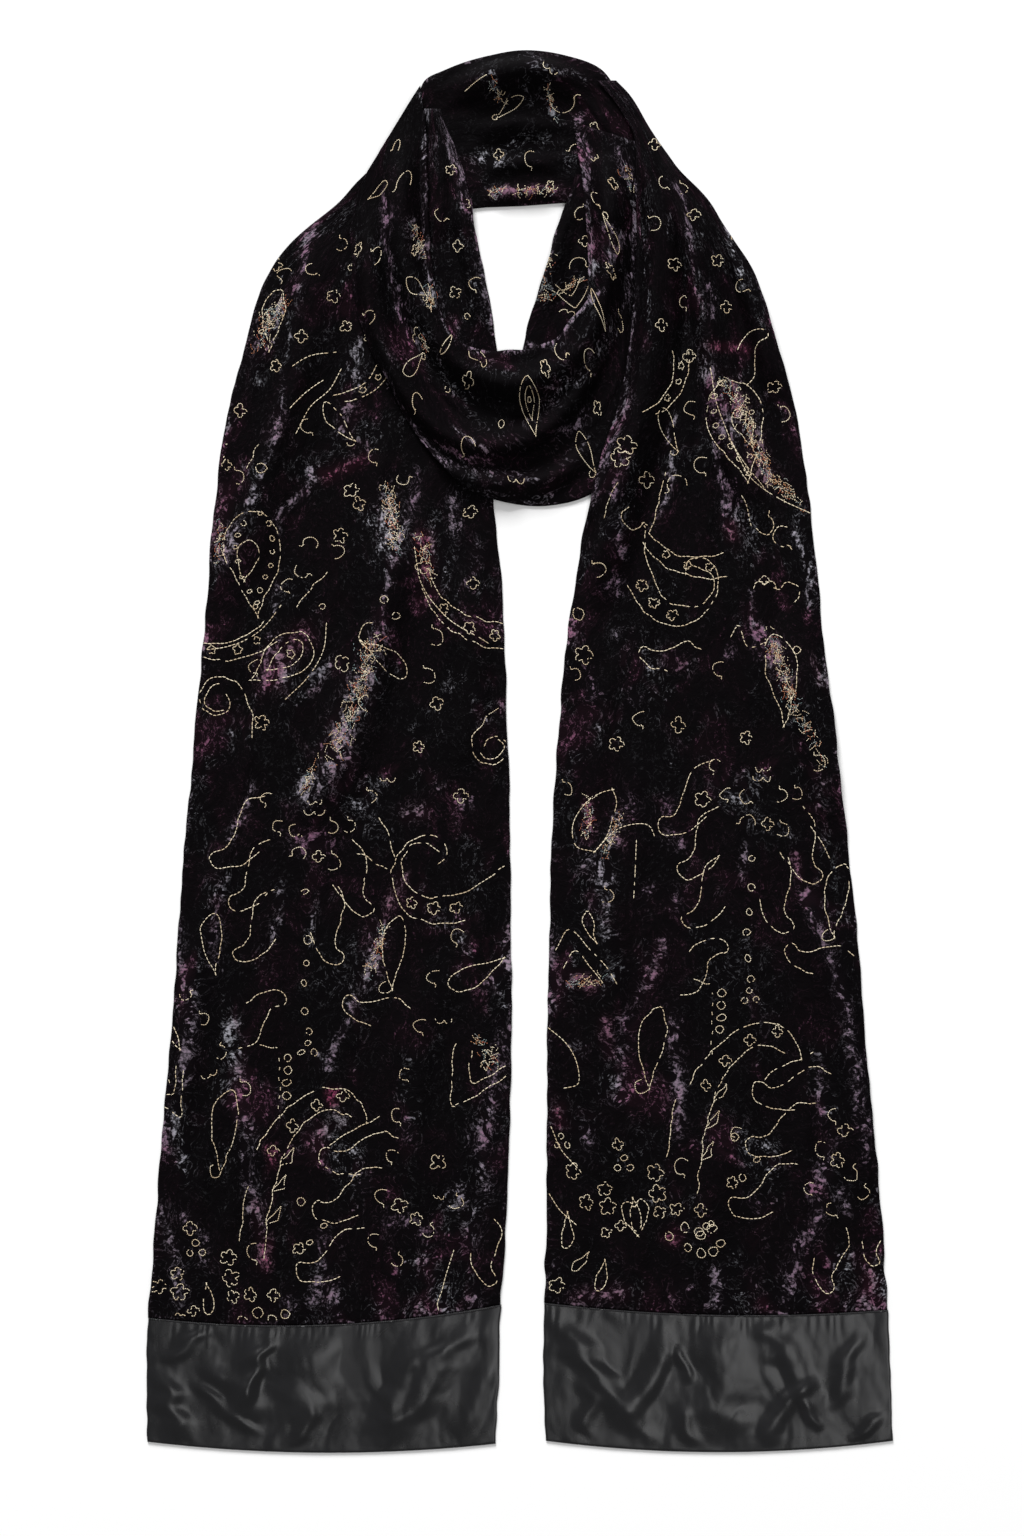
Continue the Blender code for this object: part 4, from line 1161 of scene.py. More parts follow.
def shell(stretch, material):
    """A closed mesh of the stretch, with its UV map in metres and its painted highlights."""
    rows, columns = stretch.point.shape[:2]
    top = stretch.top.reshape(-1, 3)
    low = (stretch.point - stretch.normal * stretch.half[..., None]).reshape(-1, 3)
    number = np.arange(rows * columns).reshape(rows, columns)
    inner = np.zeros((rows, columns), bool)
    inner[1:-1, 1:-1] = True
    low_number = number.copy()
    low_number[inner] = rows * columns + np.arange(inner.sum())
    points = np.vstack([top, low[inner.ravel()]]) - np.array([CENTRE_X, CENTRE_Y, 0.0])

    def quads(index):
        return np.stack([index[:-1, :-1], index[:-1, 1:], index[1:, 1:], index[1:, :-1]],
                        axis=-1).reshape(-1, 4)

    upper = quads(number)
    if np.cross(stretch.point[0, 1] - stretch.point[0, 0],
                stretch.point[1, 0] - stretch.point[0, 0])[2] < 0:
        upper = upper[:, ::-1]
        lower = quads(low_number)
    else:
        lower = quads(low_number)[:, ::-1]
    faces = np.vstack([upper, lower])
    mesh = bpy.data.meshes.new(stretch.name + "_cloth")
    mesh.from_pydata((points * MM).tolist(), [], faces.tolist())
    place = np.stack([np.broadcast_to(stretch.u[None, :] * stretch.width, (rows, columns)),
                      np.broadcast_to(stretch.s[:, None] * stretch.length, (rows, columns))],
                     axis=-1).reshape(-1, 2) * MM
    place = np.vstack([place, place[inner.ravel()]])
    uv = mesh.uv_layers.new(name="cloth")
    uv.uv.foreach_set("vector", place[faces.ravel()].astype(np.float32).ravel())
    # The lights colour holds the painted highlights of the pile; the lower face gets half of them
    lights = painted_fold_lights(stretch)
    lights = np.vstack([lights, lights[inner.ravel()] * 0.5])
    colour = mesh.color_attributes.new("lights", "FLOAT_COLOR", "POINT")
    colour.data.foreach_set("color", np.hstack([lights, np.ones((len(lights), 1))]).astype(
        np.float32).ravel())
    mesh.polygons.foreach_set("use_smooth", np.ones(len(faces), bool))
    mesh.materials.append(material)
    mesh.update()
    return placed(stretch.name + "_cloth", mesh)


MATERIALS = {"neck_back": velvet_inner, "tail_left": velvet, "neck_side_right": velvet_inner,
             "cowl": velvet, "tail_right": velvet, "satin_band_left": satin,
             "satin_band_right": satin}
cloths = {}
for stretch in stretches:
    cloths[stretch.name] = shell(stretch, MATERIALS[stretch.name])
    print(stretch.name, "triangles", 2 * len(cloths[stretch.name].data.polygons))

# %% [markdown]
# ## Motifs of the drawing
#
# The velvet carries an old all-over paisley in outline: hooked leaves, teardrops with a curled tip, broad
# scrolls with flowerets, rings and small arcs. Each motif is a short function that draws lines of unit
# size, so no line is copied from anywhere. A chart then says where each motif lies.

# %% Motif functions


def curve(a, b, c, d, steps=14):
    """A cubic curve between a and d."""
    t = np.linspace(0, 1, steps)[:, None]
    a, b, c, d = map(np.array, (a, b, c, d))
    return a * (1 - t) ** 3 + 3 * b * t * (1 - t) ** 2 + 3 * c * t**2 * (1 - t) + d * t**3


def flowing(*points):
    """A smooth open line through a few points, in five steps from each to the next."""
    return through(points, np.linspace(0, 1, 5 * (len(points) - 1) + 1))


def arc(x, y, radius, start, end, steps):
    """Part of a circle, in degrees."""
    a = np.radians(np.linspace(start, end, steps))
    return np.stack([x + radius * np.cos(a), y + radius * np.sin(a)], axis=1)


def repeated(motif, size, *places):
    """Small copies of a motif, one at each place."""
    return [line * size + np.array(at) for at in places for line in motif()]


def teardrop(width=0.36, bend=0.25):
    """A closed drop, tip down and round end up, centred on 0, one unit tall."""
    t = np.linspace(0, 1, 22)
    half = 0.5 * width * np.sin(math.pi * t**1.5) ** 0.7
    middle = bend * (1 - t) ** 2
    left = np.stack([middle - half, t - 0.5], axis=1)
    right = np.stack([middle + half, t - 0.5], axis=1)
    return [np.vstack([left, right[::-1]])]


def paisley():
    """A drop whose tip curls."""
    tip = arc(0.25 - 0.085, -0.5, 0.085, 0, -230, 10)
    return teardrop(0.34, 0.25) + [tip]


def full_paisley():
    """A broad drop with a second one and a floweret inside."""
    inside = [line * 0.62 + np.array([0.02, 0.06]) for line in teardrop(0.46, 0.2)]
    return teardrop(0.62, 0.22) + inside + repeated(floweret, 0.12, (0.03, 0.14))


def dotted_paisley():
    """A broad drop with dots all along its inside."""
    places = teardrop(0.40, 0.2)[0][::3] * 0.9 + np.array([0.02, 0.03])
    inside = [line * 0.4 for line in teardrop(0.5, 0.1)]
    return teardrop(0.56, 0.24) + repeated(ring, 0.045, *places) + inside


def flame():
    """A hooked leaf, open at its far end, hook at 0 and tip at 1."""
    return [flowing((1, 0), (0.82, 0.107), (0.53, 0.033), (0.27, -0.056), (0.167, -0.03), (0.11, 0.022),
                    (0.03, 0.03), (-0.04, -0.115), (0.08, -0.263), (0.25, -0.35), (0.43, -0.376))]


def floweret(petals=5, depth=0.46):
    """A small flower in outline, radius one half."""
    a = np.linspace(0, 2 * math.pi, 10 * petals + 1)
    radius = 0.5 * (1 - depth + depth * np.abs(np.cos(0.5 * petals * a)) ** 0.8)
    return [np.stack([radius * np.cos(a), radius * np.sin(a)], axis=1)[:-3]]


def four_petals():
    return floweret(4, 0.52)


def ring():
    return [arc(0, 0, 0.5, 0, 360, 9)]


def heart():
    """A small heart, tip down."""
    return [flowing((0, -0.5), (-0.36, 0.02), (-0.34, 0.40), (-0.12, 0.46), (0.0, 0.24), (0.14, 0.46),
                    (0.36, 0.38), (0.34, 0.0), (0, -0.5))]


def hook_arc():
    """A small C with a turned end."""
    return [np.vstack([arc(0, 0, 0.5, 60, 280, 10), arc(0.02, -0.62, 0.14, 100, -40, 4)])]


def small_w():
    return [np.vstack([arc(-0.25, 0, 0.25, 180, 350, 6), arc(0.25, 0, 0.25, 190, 360, 6)])]


def stroke():
    return [curve((0, -0.5), (0.03, -0.2), (0.05, 0.2), (0.14, 0.5), 8)]


def trio():
    return repeated(ring, 0.34, (0, 0.33), (-0.34, -0.2), (0.34, -0.2))


def dot_row():
    """Seven dots in a column."""
    return [np.array([[0, k / 6 - 0.5], [0.0, k / 6 - 0.47]]) for k in range(7)]


def ring_row():
    """Four rings in a column."""
    return repeated(ring, 0.15, *((0.0, k * 0.24 - 0.36) for k in range(4)))


def scroll():
    """A broad scroll with flowerets between its two lines, its left end at 0."""
    outer = flowing((0.42, 0.09), (0.495, 0.155), (0.48, 0.26), (0.35, 0.34), (0.2, 0.31), (0.06, 0.17),
                    (0, 0), (0.02, -0.2), (0.13, -0.37), (0.35, -0.46), (0.66, -0.44))
    inner = flowing((0.41, 0.2), (0.31, 0.26), (0.19, 0.26), (0.1, 0.13), (0.09, 0), (0.17, -0.13),
                    (0.31, -0.22), (0.53, -0.21), (0.79, -0.11), (1.01, 0.055))
    return [outer, inner] + repeated(floweret, 0.11, (0.17, -0.27), (0.38, -0.33), (0.58, -0.32))


def whorl():
    """A hook that turns in on itself, with a second line inside it."""
    a = np.radians(np.linspace(-60, 330, 30))
    radius = 0.5 - 0.34 * np.linspace(0, 1, 30)
    turn = np.stack([radius * np.cos(a), radius * np.sin(a)], axis=1)
    return [turn, turn[6:22] * 0.72, flowing((0.25, -0.43), (0.05, -0.66), (-0.25, -0.80))]


def great_stem():
    """A bent band that ends in a beak, with flowerets in it and small leaves on its stem."""
    inner = curve((-0.44, -0.84), (-0.40, 0.15), (-0.05, 0.80), (0.40, 0.52), 26)
    outer = curve((-0.52, 0.22), (-0.20, 0.88), (0.48, 1.02), (0.55, 0.46), 22)
    beak = curve((0.66, 0.52), (0.50, 0.40), (0.34, 0.40), (0.20, 0.26), 8)
    lines = [inner, outer, beak]
    for place, at in ((0.14, -0.62), (0.24, -0.40), (0.36, -0.12)):
        foot = inner[int(place * 25)]
        lines.append(np.array([foot, foot + (0.12, 0.15), foot + (0.10, 0.02), foot + (0.0, -0.02)]))
    return lines + repeated(four_petals, 0.11, (-0.36, 0.20), (-0.18, 0.44), (0.06, 0.64), (0.32, 0.72))


def band_arc():
    """Two parallel bent lines with flowerets between them."""
    upper = curve((-0.5, 0.3), (-0.3, -0.05), (0.15, -0.14), (0.5, 0.02))
    lower = curve((-0.5, 0.08), (-0.3, -0.25), (0.15, -0.38), (0.55, -0.26))
    return [upper, lower] + repeated(floweret, 0.11, (-0.22, -0.05), (0.08, -0.17), (0.34, -0.16))


def chevron():
    """Two nested corners with a floweret."""
    outer = np.vstack([curve((-0.38, 0.5), (-0.5, 0.2), (-0.48, -0.2), (-0.45, -0.5), 8),
                       curve((-0.45, -0.5), (-0.2, -0.42), (0.1, -0.2), (0.4, -0.05), 8)])
    inner = np.vstack([curve((-0.14, 0.44), (-0.18, 0.2), (-0.18, 0.0), (-0.14, -0.12), 6),
                       curve((-0.14, -0.12), (0.0, -0.12), (0.2, 0.02), (0.4, 0.14), 6)])
    return [outer, inner] + repeated(floweret, 0.14, (0.05, 0.16))


MOTIFS = {"teardrop": teardrop, "paisley": paisley, "full_paisley": full_paisley,
          "dotted_paisley": dotted_paisley, "flame": flame, "floweret": floweret, "four": four_petals,
          "ring": ring, "heart": heart, "hook": hook_arc, "w": small_w, "stroke": stroke, "trio": trio,
          "dots": dot_row, "rings": ring_row, "scroll": scroll, "whorl": whorl,
          "great_stem": great_stem, "band_arc": band_arc, "chevron": chevron}
print("motifs:", ", ".join(MOTIFS))

# %% [markdown]
# ## The chart
#
# Charted on squared paper: x counts squares from the left, y counts them from the top, and a square is
# 6.4 mm. Both tails carry the same repeat, so it is charted once, in four groups from the fan of leaves
# down to the little garden at the hem. On the right tail each group is shifted by its own amount, since the
# cloth lies a little differently there. The upper parts have rows of their own.

# %% Chart of the drawing: motif, x and y in squares, size in millimetres, turn in degrees, mirrored if 1
Mark = namedtuple("Mark", "motif x y size turn flip", defaults=(0, 0))
FAN_SHIFT, MIDDLE_SHIFT, STEM_SHIFT, GARDEN_SHIFT = (44.8, -3.3), (44.2, -5.2), (43.3, -6.5), (42.7, -8.5)
FAN_CHART = named(Mark, (
    ("flame", 21.0, 85.8, 53, 50),
    ("flame", 22.8, 90.4, 48, 58),
    ("flame", 23.4, 95.4, 48, 60),
    ("flame", 34.3, 96.1, 48, -82, 1),
    ("flame", 37.2, 91.1, 46, -76, 1),
    ("hook", 27.8, 82.6, 8),
    ("hook", 29.6, 82.9, 8, 40),
    ("hook", 33.1, 82.7, 8, 180),
    ("hook", 34.8, 82.6, 8, 180),
    ("hook", 29.9, 85.4, 9, -90),
    ("four", 31.9, 85.6, 8),
    ("hook", 33.3, 86.1, 9, 180),
    ("w", 31.5, 80.0, 9),
    ("w", 31.4, 81.0, 12),
    ("hook", 36.9, 79.6, 9, 190),
    ("hook", 26.6, 79.8, 8, -20),
    ("ring", 30.4, 89.1, 4.5),
))
MIDDLE_CHART = named(Mark, (
    ("flame", 28.5, 99.8, 42, 227),
    ("flame", 34.6, 99.6, 41, -9),
    ("paisley", 38.8, 94.9, 46, -23),
    ("ring", 30.8, 93.9, 5),
    ("ring", 30.5, 96.3, 4),
    ("ring", 30.4, 98.3, 4),
    ("ring", 30.4, 101.0, 4.5),
    ("ring", 30.8, 103.1, 4),
    ("trio", 30.7, 104.8, 12),
))
STEM_CHART = named(Mark, (
    ("great_stem", 31.0, 117.0, 66),
    ("flame", 32.0, 115.0, 50, 10),
    ("flame", 31.2, 120.6, 50, 30),
    ("flame", 29.5, 126.7, 50, 30),
    ("dots", 27.9, 108.8, 36),
    ("rings", 28.7, 107.6, 34),
    ("dots", 26.9, 104.6, 10, 80),
    ("ring", 30.1, 120.1, 5),
    ("ring", 32.3, 122.5, 4),
    ("floweret", 29.9, 124.7, 8),
    ("ring", 30.9, 124.2, 4),
))
GARDEN_CHART = named(Mark, (
    ("paisley", 21.8, 112.8, 52, -22),
    ("stroke", 24.0, 121.2, 34),
    ("trio", 19.6, 124.8, 12),
    ("four", 19.0, 122.8, 8, 10),
    ("floweret", 22.7, 125.7, 11),
    ("floweret", 23.0, 127.7, 11, 36),
    ("teardrop", 21.0, 130.0, 20, 170),
    ("four", 23.2, 129.7, 8, 30),
    ("floweret", 24.9, 129.3, 9),
    ("four", 27.3, 129.4, 8),
    ("floweret", 18.0, 129.1, 11, 15),
    ("floweret", 17.7, 127.3, 9, 15),
    ("four", 19.3, 131.0, 7),
    ("four", 17.9, 131.7, 7, 30),
    ("ring", 25.8, 131.2, 6),
    ("ring", 27.2, 131.9, 6),
    ("ring", 28.4, 131.2, 6),
    ("ring", 24.2, 132.0, 6),
    ("hook", 25.5, 125.1, 10),
    ("floweret", 15.8, 128.6, 10),
    ("floweret", 14.6, 125.6, 10),
    ("trio", 13.4, 122.6, 11),
    ("teardrop", 14.2, 131.6, 22, 160),
))
LEFT_CHART = named(Mark, (
    ("scroll", 39.2, 87.2, 70),
    ("stroke", 39.0, 83.6, 26, 14, 1),
    ("stroke", 37.4, 85.9, 20, 55, 1),
    ("teardrop", 47.6, 97.8, 39, 102),
    ("teardrop", 20.7, 94.1, 38, -14),
    ("chevron", 48.0, 107.4, 40),
    ("hook", 43.4, 97.6, 9),
    ("hook", 45.7, 93.5, 9, -20),
    ("hook", 42.1, 102.5, 9),
    ("w", 44.3, 101.8, 10),
    ("hook", 40.5, 107.3, 9),
    ("hook", 20.3, 101.8, 8, 190),
    ("hook", 18.6, 99.4, 7, 120),
    ("hook", 22.0, 105.1, 8, 170),
    ("w", 20.9, 107.2, 10, 20),
    ("hook", 24.4, 108.8, 9, 190),
    ("teardrop", 17.2, 103.6, 18, 10),
    ("chevron", 17.2, 108.6, 30, 60),
    ("hook", 39.7, 111.5, 9),
    ("hook", 39.3, 115.5, 8, -20),
    ("hook", 38.2, 119.6, 9),
    ("hook", 37.3, 123.9, 8),
    ("hook", 39.6, 125.9, 8, 150),
    ("four", 39.9, 120.4, 10, 20),
    ("floweret", 41.6, 121.8, 9),
    ("four", 43.7, 116.1, 11, 45),
    ("w", 43.9, 119.6, 7),
    ("hook", 45.5, 120.1, 9, 160),
    ("hook", 42.8, 123.0, 8, 150),
    ("flame", 49.4, 128.2, 41, -90, 1),
    ("dotted_paisley", 24.6, 56.0, 66, -14),
    ("band_arc", 22.6, 63.8, 52, 22),
    ("stroke", 30.9, 58.8, 28, -34),
    ("hook", 31.0, 54.4, 9, -90),
    ("hook", 30.1, 57.0, 9, 60),
    ("hook", 28.8, 58.5, 9),
    ("floweret", 33.9, 53.6, 10),
    ("hook", 33.6, 55.1, 9, 200),
    ("floweret", 35.1, 49.0, 10),
    ("four", 35.9, 50.4, 9, 20),
    ("four", 34.3, 66.3, 11, 30),
    ("ring", 32.2, 60.6, 4),
    ("ring", 38.4, 60.0, 5),
    ("ring", 39.5, 61.6, 5),
    ("full_paisley", 28.6, 66.2, 46, -38, 1),
    ("teardrop", 38.9, 65.6, 36, 216),
    ("hook", 37.3, 63.6, 18, 20),
    ("band_arc", 46.6, 61.0, 62, -16),
    ("hook", 43.4, 63.7, 11, 180),
    ("hook", 42.7, 67.6, 10, 190),
    ("floweret", 47.0, 51.2, 9),
    ("four", 47.2, 58.3, 8),
    ("four", 42.2, 56.6, 11),
    ("whorl", 21.9, 70.0, 36, 60),
    ("whorl", 49.2, 74.6, 30, 190),
    ("hook", 36.6, 70.2, 9),
    ("hook", 25.6, 66.6, 9),
    ("floweret", 26.2, 72.2, 10),
    ("four", 43.6, 70.4, 9, 20),
    ("four", 46.0, 79.6, 9),
    ("floweret", 41.8, 74.6, 8),
    ("w", 38.8, 77.8, 9),
    ("hook", 22.4, 45.0, 9),
    ("four", 22.7, 46.6, 7),
    ("hook", 23.8, 47.6, 9, 190),
    ("ring", 26.2, 46.8, 6),
    ("stroke", 25.2, 45.6, 16, -20),
    ("teardrop", 26.8, 31.6, 40, -24),
    ("floweret", 27.6, 36.6, 8),
    ("stroke", 30.4, 39.2, 26, -40),
    ("band_arc", 36.6, 37.6, 40, 60),
    ("paisley", 33.4, 42.4, 30, 24),
    ("hook", 30.6, 42.6, 9, 20),
    ("four", 24.0, 41.0, 8),
    ("four", 35.4, 26.8, 9),
    ("floweret", 33.2, 29.6, 9),
    ("hook", 31.2, 27.0, 8, 40),
    ("floweret", 27.6, 26.4, 8),
    ("hook", 34.0, 24.4, 8, 180),
    ("floweret", 37.0, 33.6, 8),
    ("four", 30.2, 33.8, 8),
    ("hook", 28.4, 27.4, 8, -30),
    ("four", 34.6, 32.6, 8, 30),
    ("hook", 37.4, 45.6, 9),
    ("hook", 40.2, 47.8, 8, 90),
    ("floweret", 45.0, 17.0, 7),
    ("hook", 44.0, 21.6, 7, 60),
    ("four", 45.8, 24.6, 7),
    ("w", 46.6, 20.4, 6, 90),
    ("four", 45.4, 29.2, 8, 30),
    ("ring", 46.8, 31.6, 4),
    ("hook", 47.6, 28.4, 7),
))
RIGHT_CHART = named(Mark, (
    ("scroll", 70.5, 61.2, 66, -52, 1),
    ("band_arc", 68.2, 55.2, 50, -4),
    ("stroke", 65.4, 50.2, 38, -6),
    ("hook", 67.6, 48.4, 12, -60),
    ("hook", 70.2, 46.4, 10, 10),
    ("flame", 64.1, 64.8, 37),
    ("floweret", 62.6, 44.6, 12),
    ("floweret", 62.0, 45.9, 12, 30),
    ("four", 64.5, 47.9, 11),
    ("ring", 57.8, 61.4, 8),
    ("floweret", 58.2, 65.4, 12),
    ("hook", 57.4, 67.4, 8, 200),
    ("hook", 59.8, 57.0, 9, 200),
    ("hook", 63.1, 51.8, 14, 60),
    ("stroke", 60.8, 50.0, 22, -14),
    ("hook", 71.8, 66.8, 9),
    ("ring", 79.5, 64.9, 5),
    ("w", 76.5, 58.6, 14, 180),
    ("hook", 78.9, 59.2, 14, -120),
    ("four", 76.4, 58.0, 6),
    ("hook", 76.4, 52.4, 12, 150),
    ("hook", 78.2, 53.6, 13, 20),
    ("stroke", 74.8, 51.0, 18, 10, 1),
    ("dotted_paisley", 74.4, 42.6, 66, 28, 1),
    ("teardrop", 78.8, 67.6, 58, 22, 1),
    ("teardrop", 58.7, 92.7, 20),
    ("hook", 60.6, 89.6, 9, 180),
    ("hook", 56.6, 78.8, 8, 190),
    ("floweret", 70.2, 79.8, 10),
    ("floweret", 74.6, 73.6, 8),
    ("four", 67.8, 72.4, 9),
    ("hook", 64.0, 71.8, 9, 10),
    ("floweret", 61.6, 74.4, 9),
    ("heart", 63.5, 121.6, 22, 8),
    ("teardrop", 60.3, 127.6, 20, 150),
    ("teardrop", 58.1, 126.2, 16, 120),
    ("ring", 69.8, 123.0, 5),
    ("ring", 70.5, 122.4, 4),
    ("ring", 71.1, 122.1, 4),
    ("ring", 68.8, 124.6, 5.5),
    ("ring", 70.0, 125.2, 6),
    ("ring", 71.2, 125.1, 6),
    ("ring", 72.0, 124.4, 5),
    ("floweret", 55.6, 128.4, 10),
    ("flame", 83.2, 129.1, 41, -102, 1),
    ("flame", 87.7, 126.3, 30, -95, 1),
    ("floweret", 83.7, 115.9, 10),
    ("hook", 82.1, 114.8, 9),
    ("hook", 85.0, 117.3, 9, 150),
    ("hook", 80.9, 118.7, 8),
    ("hook", 86.2, 119.2, 8, 160),
    ("hook", 83.1, 120.9, 8, 30),
    ("hook", 83.4, 111.4, 8),
    ("four", 84.5, 112.9, 9),
    ("hook", 73.5, 113.2, 8, -30),
    ("flame", 76.4, 33.4, 34, 250),
    ("four", 72.4, 30.6, 8),
    ("band_arc", 66.6, 38.4, 40, 80),
    ("four", 66.0, 32.6, 8),
    ("hook", 68.4, 30.2, 8),
    ("floweret", 67.2, 26.6, 8),
    ("hook", 65.4, 22.6, 8, 200),
    ("four", 69.2, 21.6, 8),
    ("floweret", 71.6, 26.0, 9),
    ("hook", 74.2, 28.6, 8, 30),
    ("four", 69.0, 35.6, 9),
    ("hook", 69.0, 40.8, 9),
    ("paisley", 66.4, 43.0, 28, 8),
    ("floweret", 77.4, 38.6, 9),
    ("hook", 78.2, 41.4, 9, 200),
    ("hook", 66.2, 18.4, 7, 30),
    ("four", 65.2, 14.6, 7),
    ("hook", 68.2, 19.0, 7, 190),
    ("floweret", 73.6, 23.6, 8),
))
LEFT_LINES = (
    ((45.3, 125.0), (44.2, 128.8), (43.8, 130.8), (44.3, 131.2)),
    ((32.6, 62.4), (32.4, 64.6), (30.8, 67.6), (28.6, 69.8)),
    ((41.4, 54.8), (42.0, 58.2), (44.6, 61.6), (48.6, 64.2)),
    ((28.0, 60.6), (26.0, 63.0), (22.8, 64.6), (20.8, 64.9)),
    ((29.4, 36.6), (31.0, 35.6), (33.4, 35.2)),
    ((34.0, 37.0), (33.0, 38.8), (31.0, 40.6), (29.6, 43.2)),
)
RIGHT_LINES = (
    ((61.2, 78.9), (60.0, 79.2), (58.2, 80.6), (57.2, 82.7), (57.6, 84.6), (59.4, 85.1)),
    ((61.2, 78.9), (61.6, 80.0), (61.2, 81.8), (60.6, 83.6), (59.4, 85.1)),
    ((59.4, 85.1), (62.0, 82.7), (65.0, 82.7), (65.3, 83.4)),
    ((63.6, 84.1), (63.5, 86.6), (63.3, 89.6)),
    ((55.6, 94.8), (56.8, 92.9), (58.9, 94.8), (60.6, 96.6), (61.5, 98.2)),
    ((56.4, 96.6), (57.4, 95.0), (59.0, 96.6), (60.4, 98.4)),
    ((54.9, 102.8), (56.5, 104.2), (57.7, 106.3), (57.7, 108.4), (56.5, 108.7)),
    ((81.1, 82.7), (82.0, 84.0), (83.0, 86.0)),
    ((73.1, 63.5), (73.7, 62.5), (74.8, 64.7), (76.5, 64.2)),
    ((55.1, 112.7), (56.0, 114.8), (57.6, 116.6)),
    ((54.8, 119.2), (56.0, 121.0), (57.5, 122.3)),
    ((72.8, 44.0), (75.4, 48.3), (78.0, 49.9), (80.8, 51.2)),
    ((71.0, 37.0), (71.6, 40.4), (73.4, 45.0), (76.4, 49.0)),
)
print("marks:", sum(map(len, (FAN_CHART, MIDDLE_CHART, STEM_CHART, GARDEN_CHART, LEFT_CHART, RIGHT_CHART))))

# %% [markdown]
# On the neck and the cowl the drawing is gathered small, so only short motifs show there. Those stretches
# are charted in their own measure: how far along and across, from 0 to 1.

# %% Chart of the neck and the cowl: motif, along, across, size in millimetres, turn
Spot = namedtuple("Spot", "motif along across size turn", defaults=(0,))
COWL_SPOTS = named(Spot, (
    ("hook", 0.10, 0.30, 12, 80),
    ("teardrop", 0.07, 0.62, 20, 60),
    ("hook", 0.16, 0.70, 10, 20),
    ("floweret", 0.20, 0.22, 7),
    ("paisley", 0.25, 0.28, 22, 200),
    ("w", 0.30, 0.40, 9, 30),
    ("teardrop", 0.36, 0.10, 17, 260),
    ("paisley", 0.33, 0.62, 26, 250),
    ("hook", 0.36, 0.78, 9, 100),
    ("four", 0.42, 0.26, 9),
    ("hook", 0.44, 0.72, 9, 60),
    ("flame", 0.44, 0.14, 17, 250),
    ("full_paisley", 0.52, 0.36, 26, 80),
    ("floweret", 0.56, 0.16, 8),
    ("hook", 0.60, 0.10, 9, 130),
    ("w", 0.50, 0.84, 8, 90),
    ("paisley", 0.58, 0.74, 20, 80),
    ("hook", 0.64, 0.30, 10, 40),
    ("four", 0.62, 0.56, 7),
    ("teardrop", 0.70, 0.14, 20, 30),
    ("hook", 0.73, 0.46, 9, 200),
    ("floweret", 0.78, 0.30, 9),
    ("paisley", 0.84, 0.36, 22, 190),
    ("hook", 0.88, 0.18, 9, 20),
    ("four", 0.92, 0.40, 8),
    ("w", 0.95, 0.22, 8, 40),
    ("hook", 0.04, 0.40, 8, 60),
    ("floweret", 0.13, 0.90, 8),
    ("hook", 0.23, 0.88, 8, 20),
    ("four", 0.28, 0.14, 7),
    ("ring", 0.48, 0.50, 4),
    ("ring", 0.39, 0.44, 4),
))
NECK_SPOTS = named(Spot, (
    ("paisley", 0.40, 0.34, 20, 20),
    ("hook", 0.62, 0.30, 14, 200),
    ("w", 0.56, 0.12, 8, 60),
    ("four", 0.34, 0.66, 7),
    ("hook", 0.50, 0.70, 8, 90),
    ("floweret", 0.62, 0.88, 7),
    ("hook", 0.72, 0.62, 8),
    ("w", 0.44, 0.90, 7),
    ("four", 0.78, 0.40, 7),
    ("stroke", 0.28, 0.16, 12, 30),
))
SIDE_SPOTS = named(Spot, (
    ("hook", 0.20, 0.34, 8),
    ("four", 0.34, 0.50, 7),
    ("hook", 0.46, 0.44, 9, 90),
    ("chevron", 0.60, 0.40, 20, 190),
    ("floweret", 0.26, 0.66, 7),
    ("w", 0.72, 0.50, 9, 20),
))
print("spots:", len(COWL_SPOTS) + len(NECK_SPOTS) + len(SIDE_SPOTS))

# %% [markdown]
# ## Stitches along the lines
#
# Each charted line is carried onto the cloth and becomes a curve. Geometry Nodes then lays one small stitch
# after another along every curve: resample by the pitch, put a short rounded stitch on each point, turned
# along the line. Real stitches are never alike, so their length varies a little with a fixed seed.

# %% The stitch tree
SHORTEST, LONGEST, STITCHES_KEPT = 0.70, 1.04, 0.93


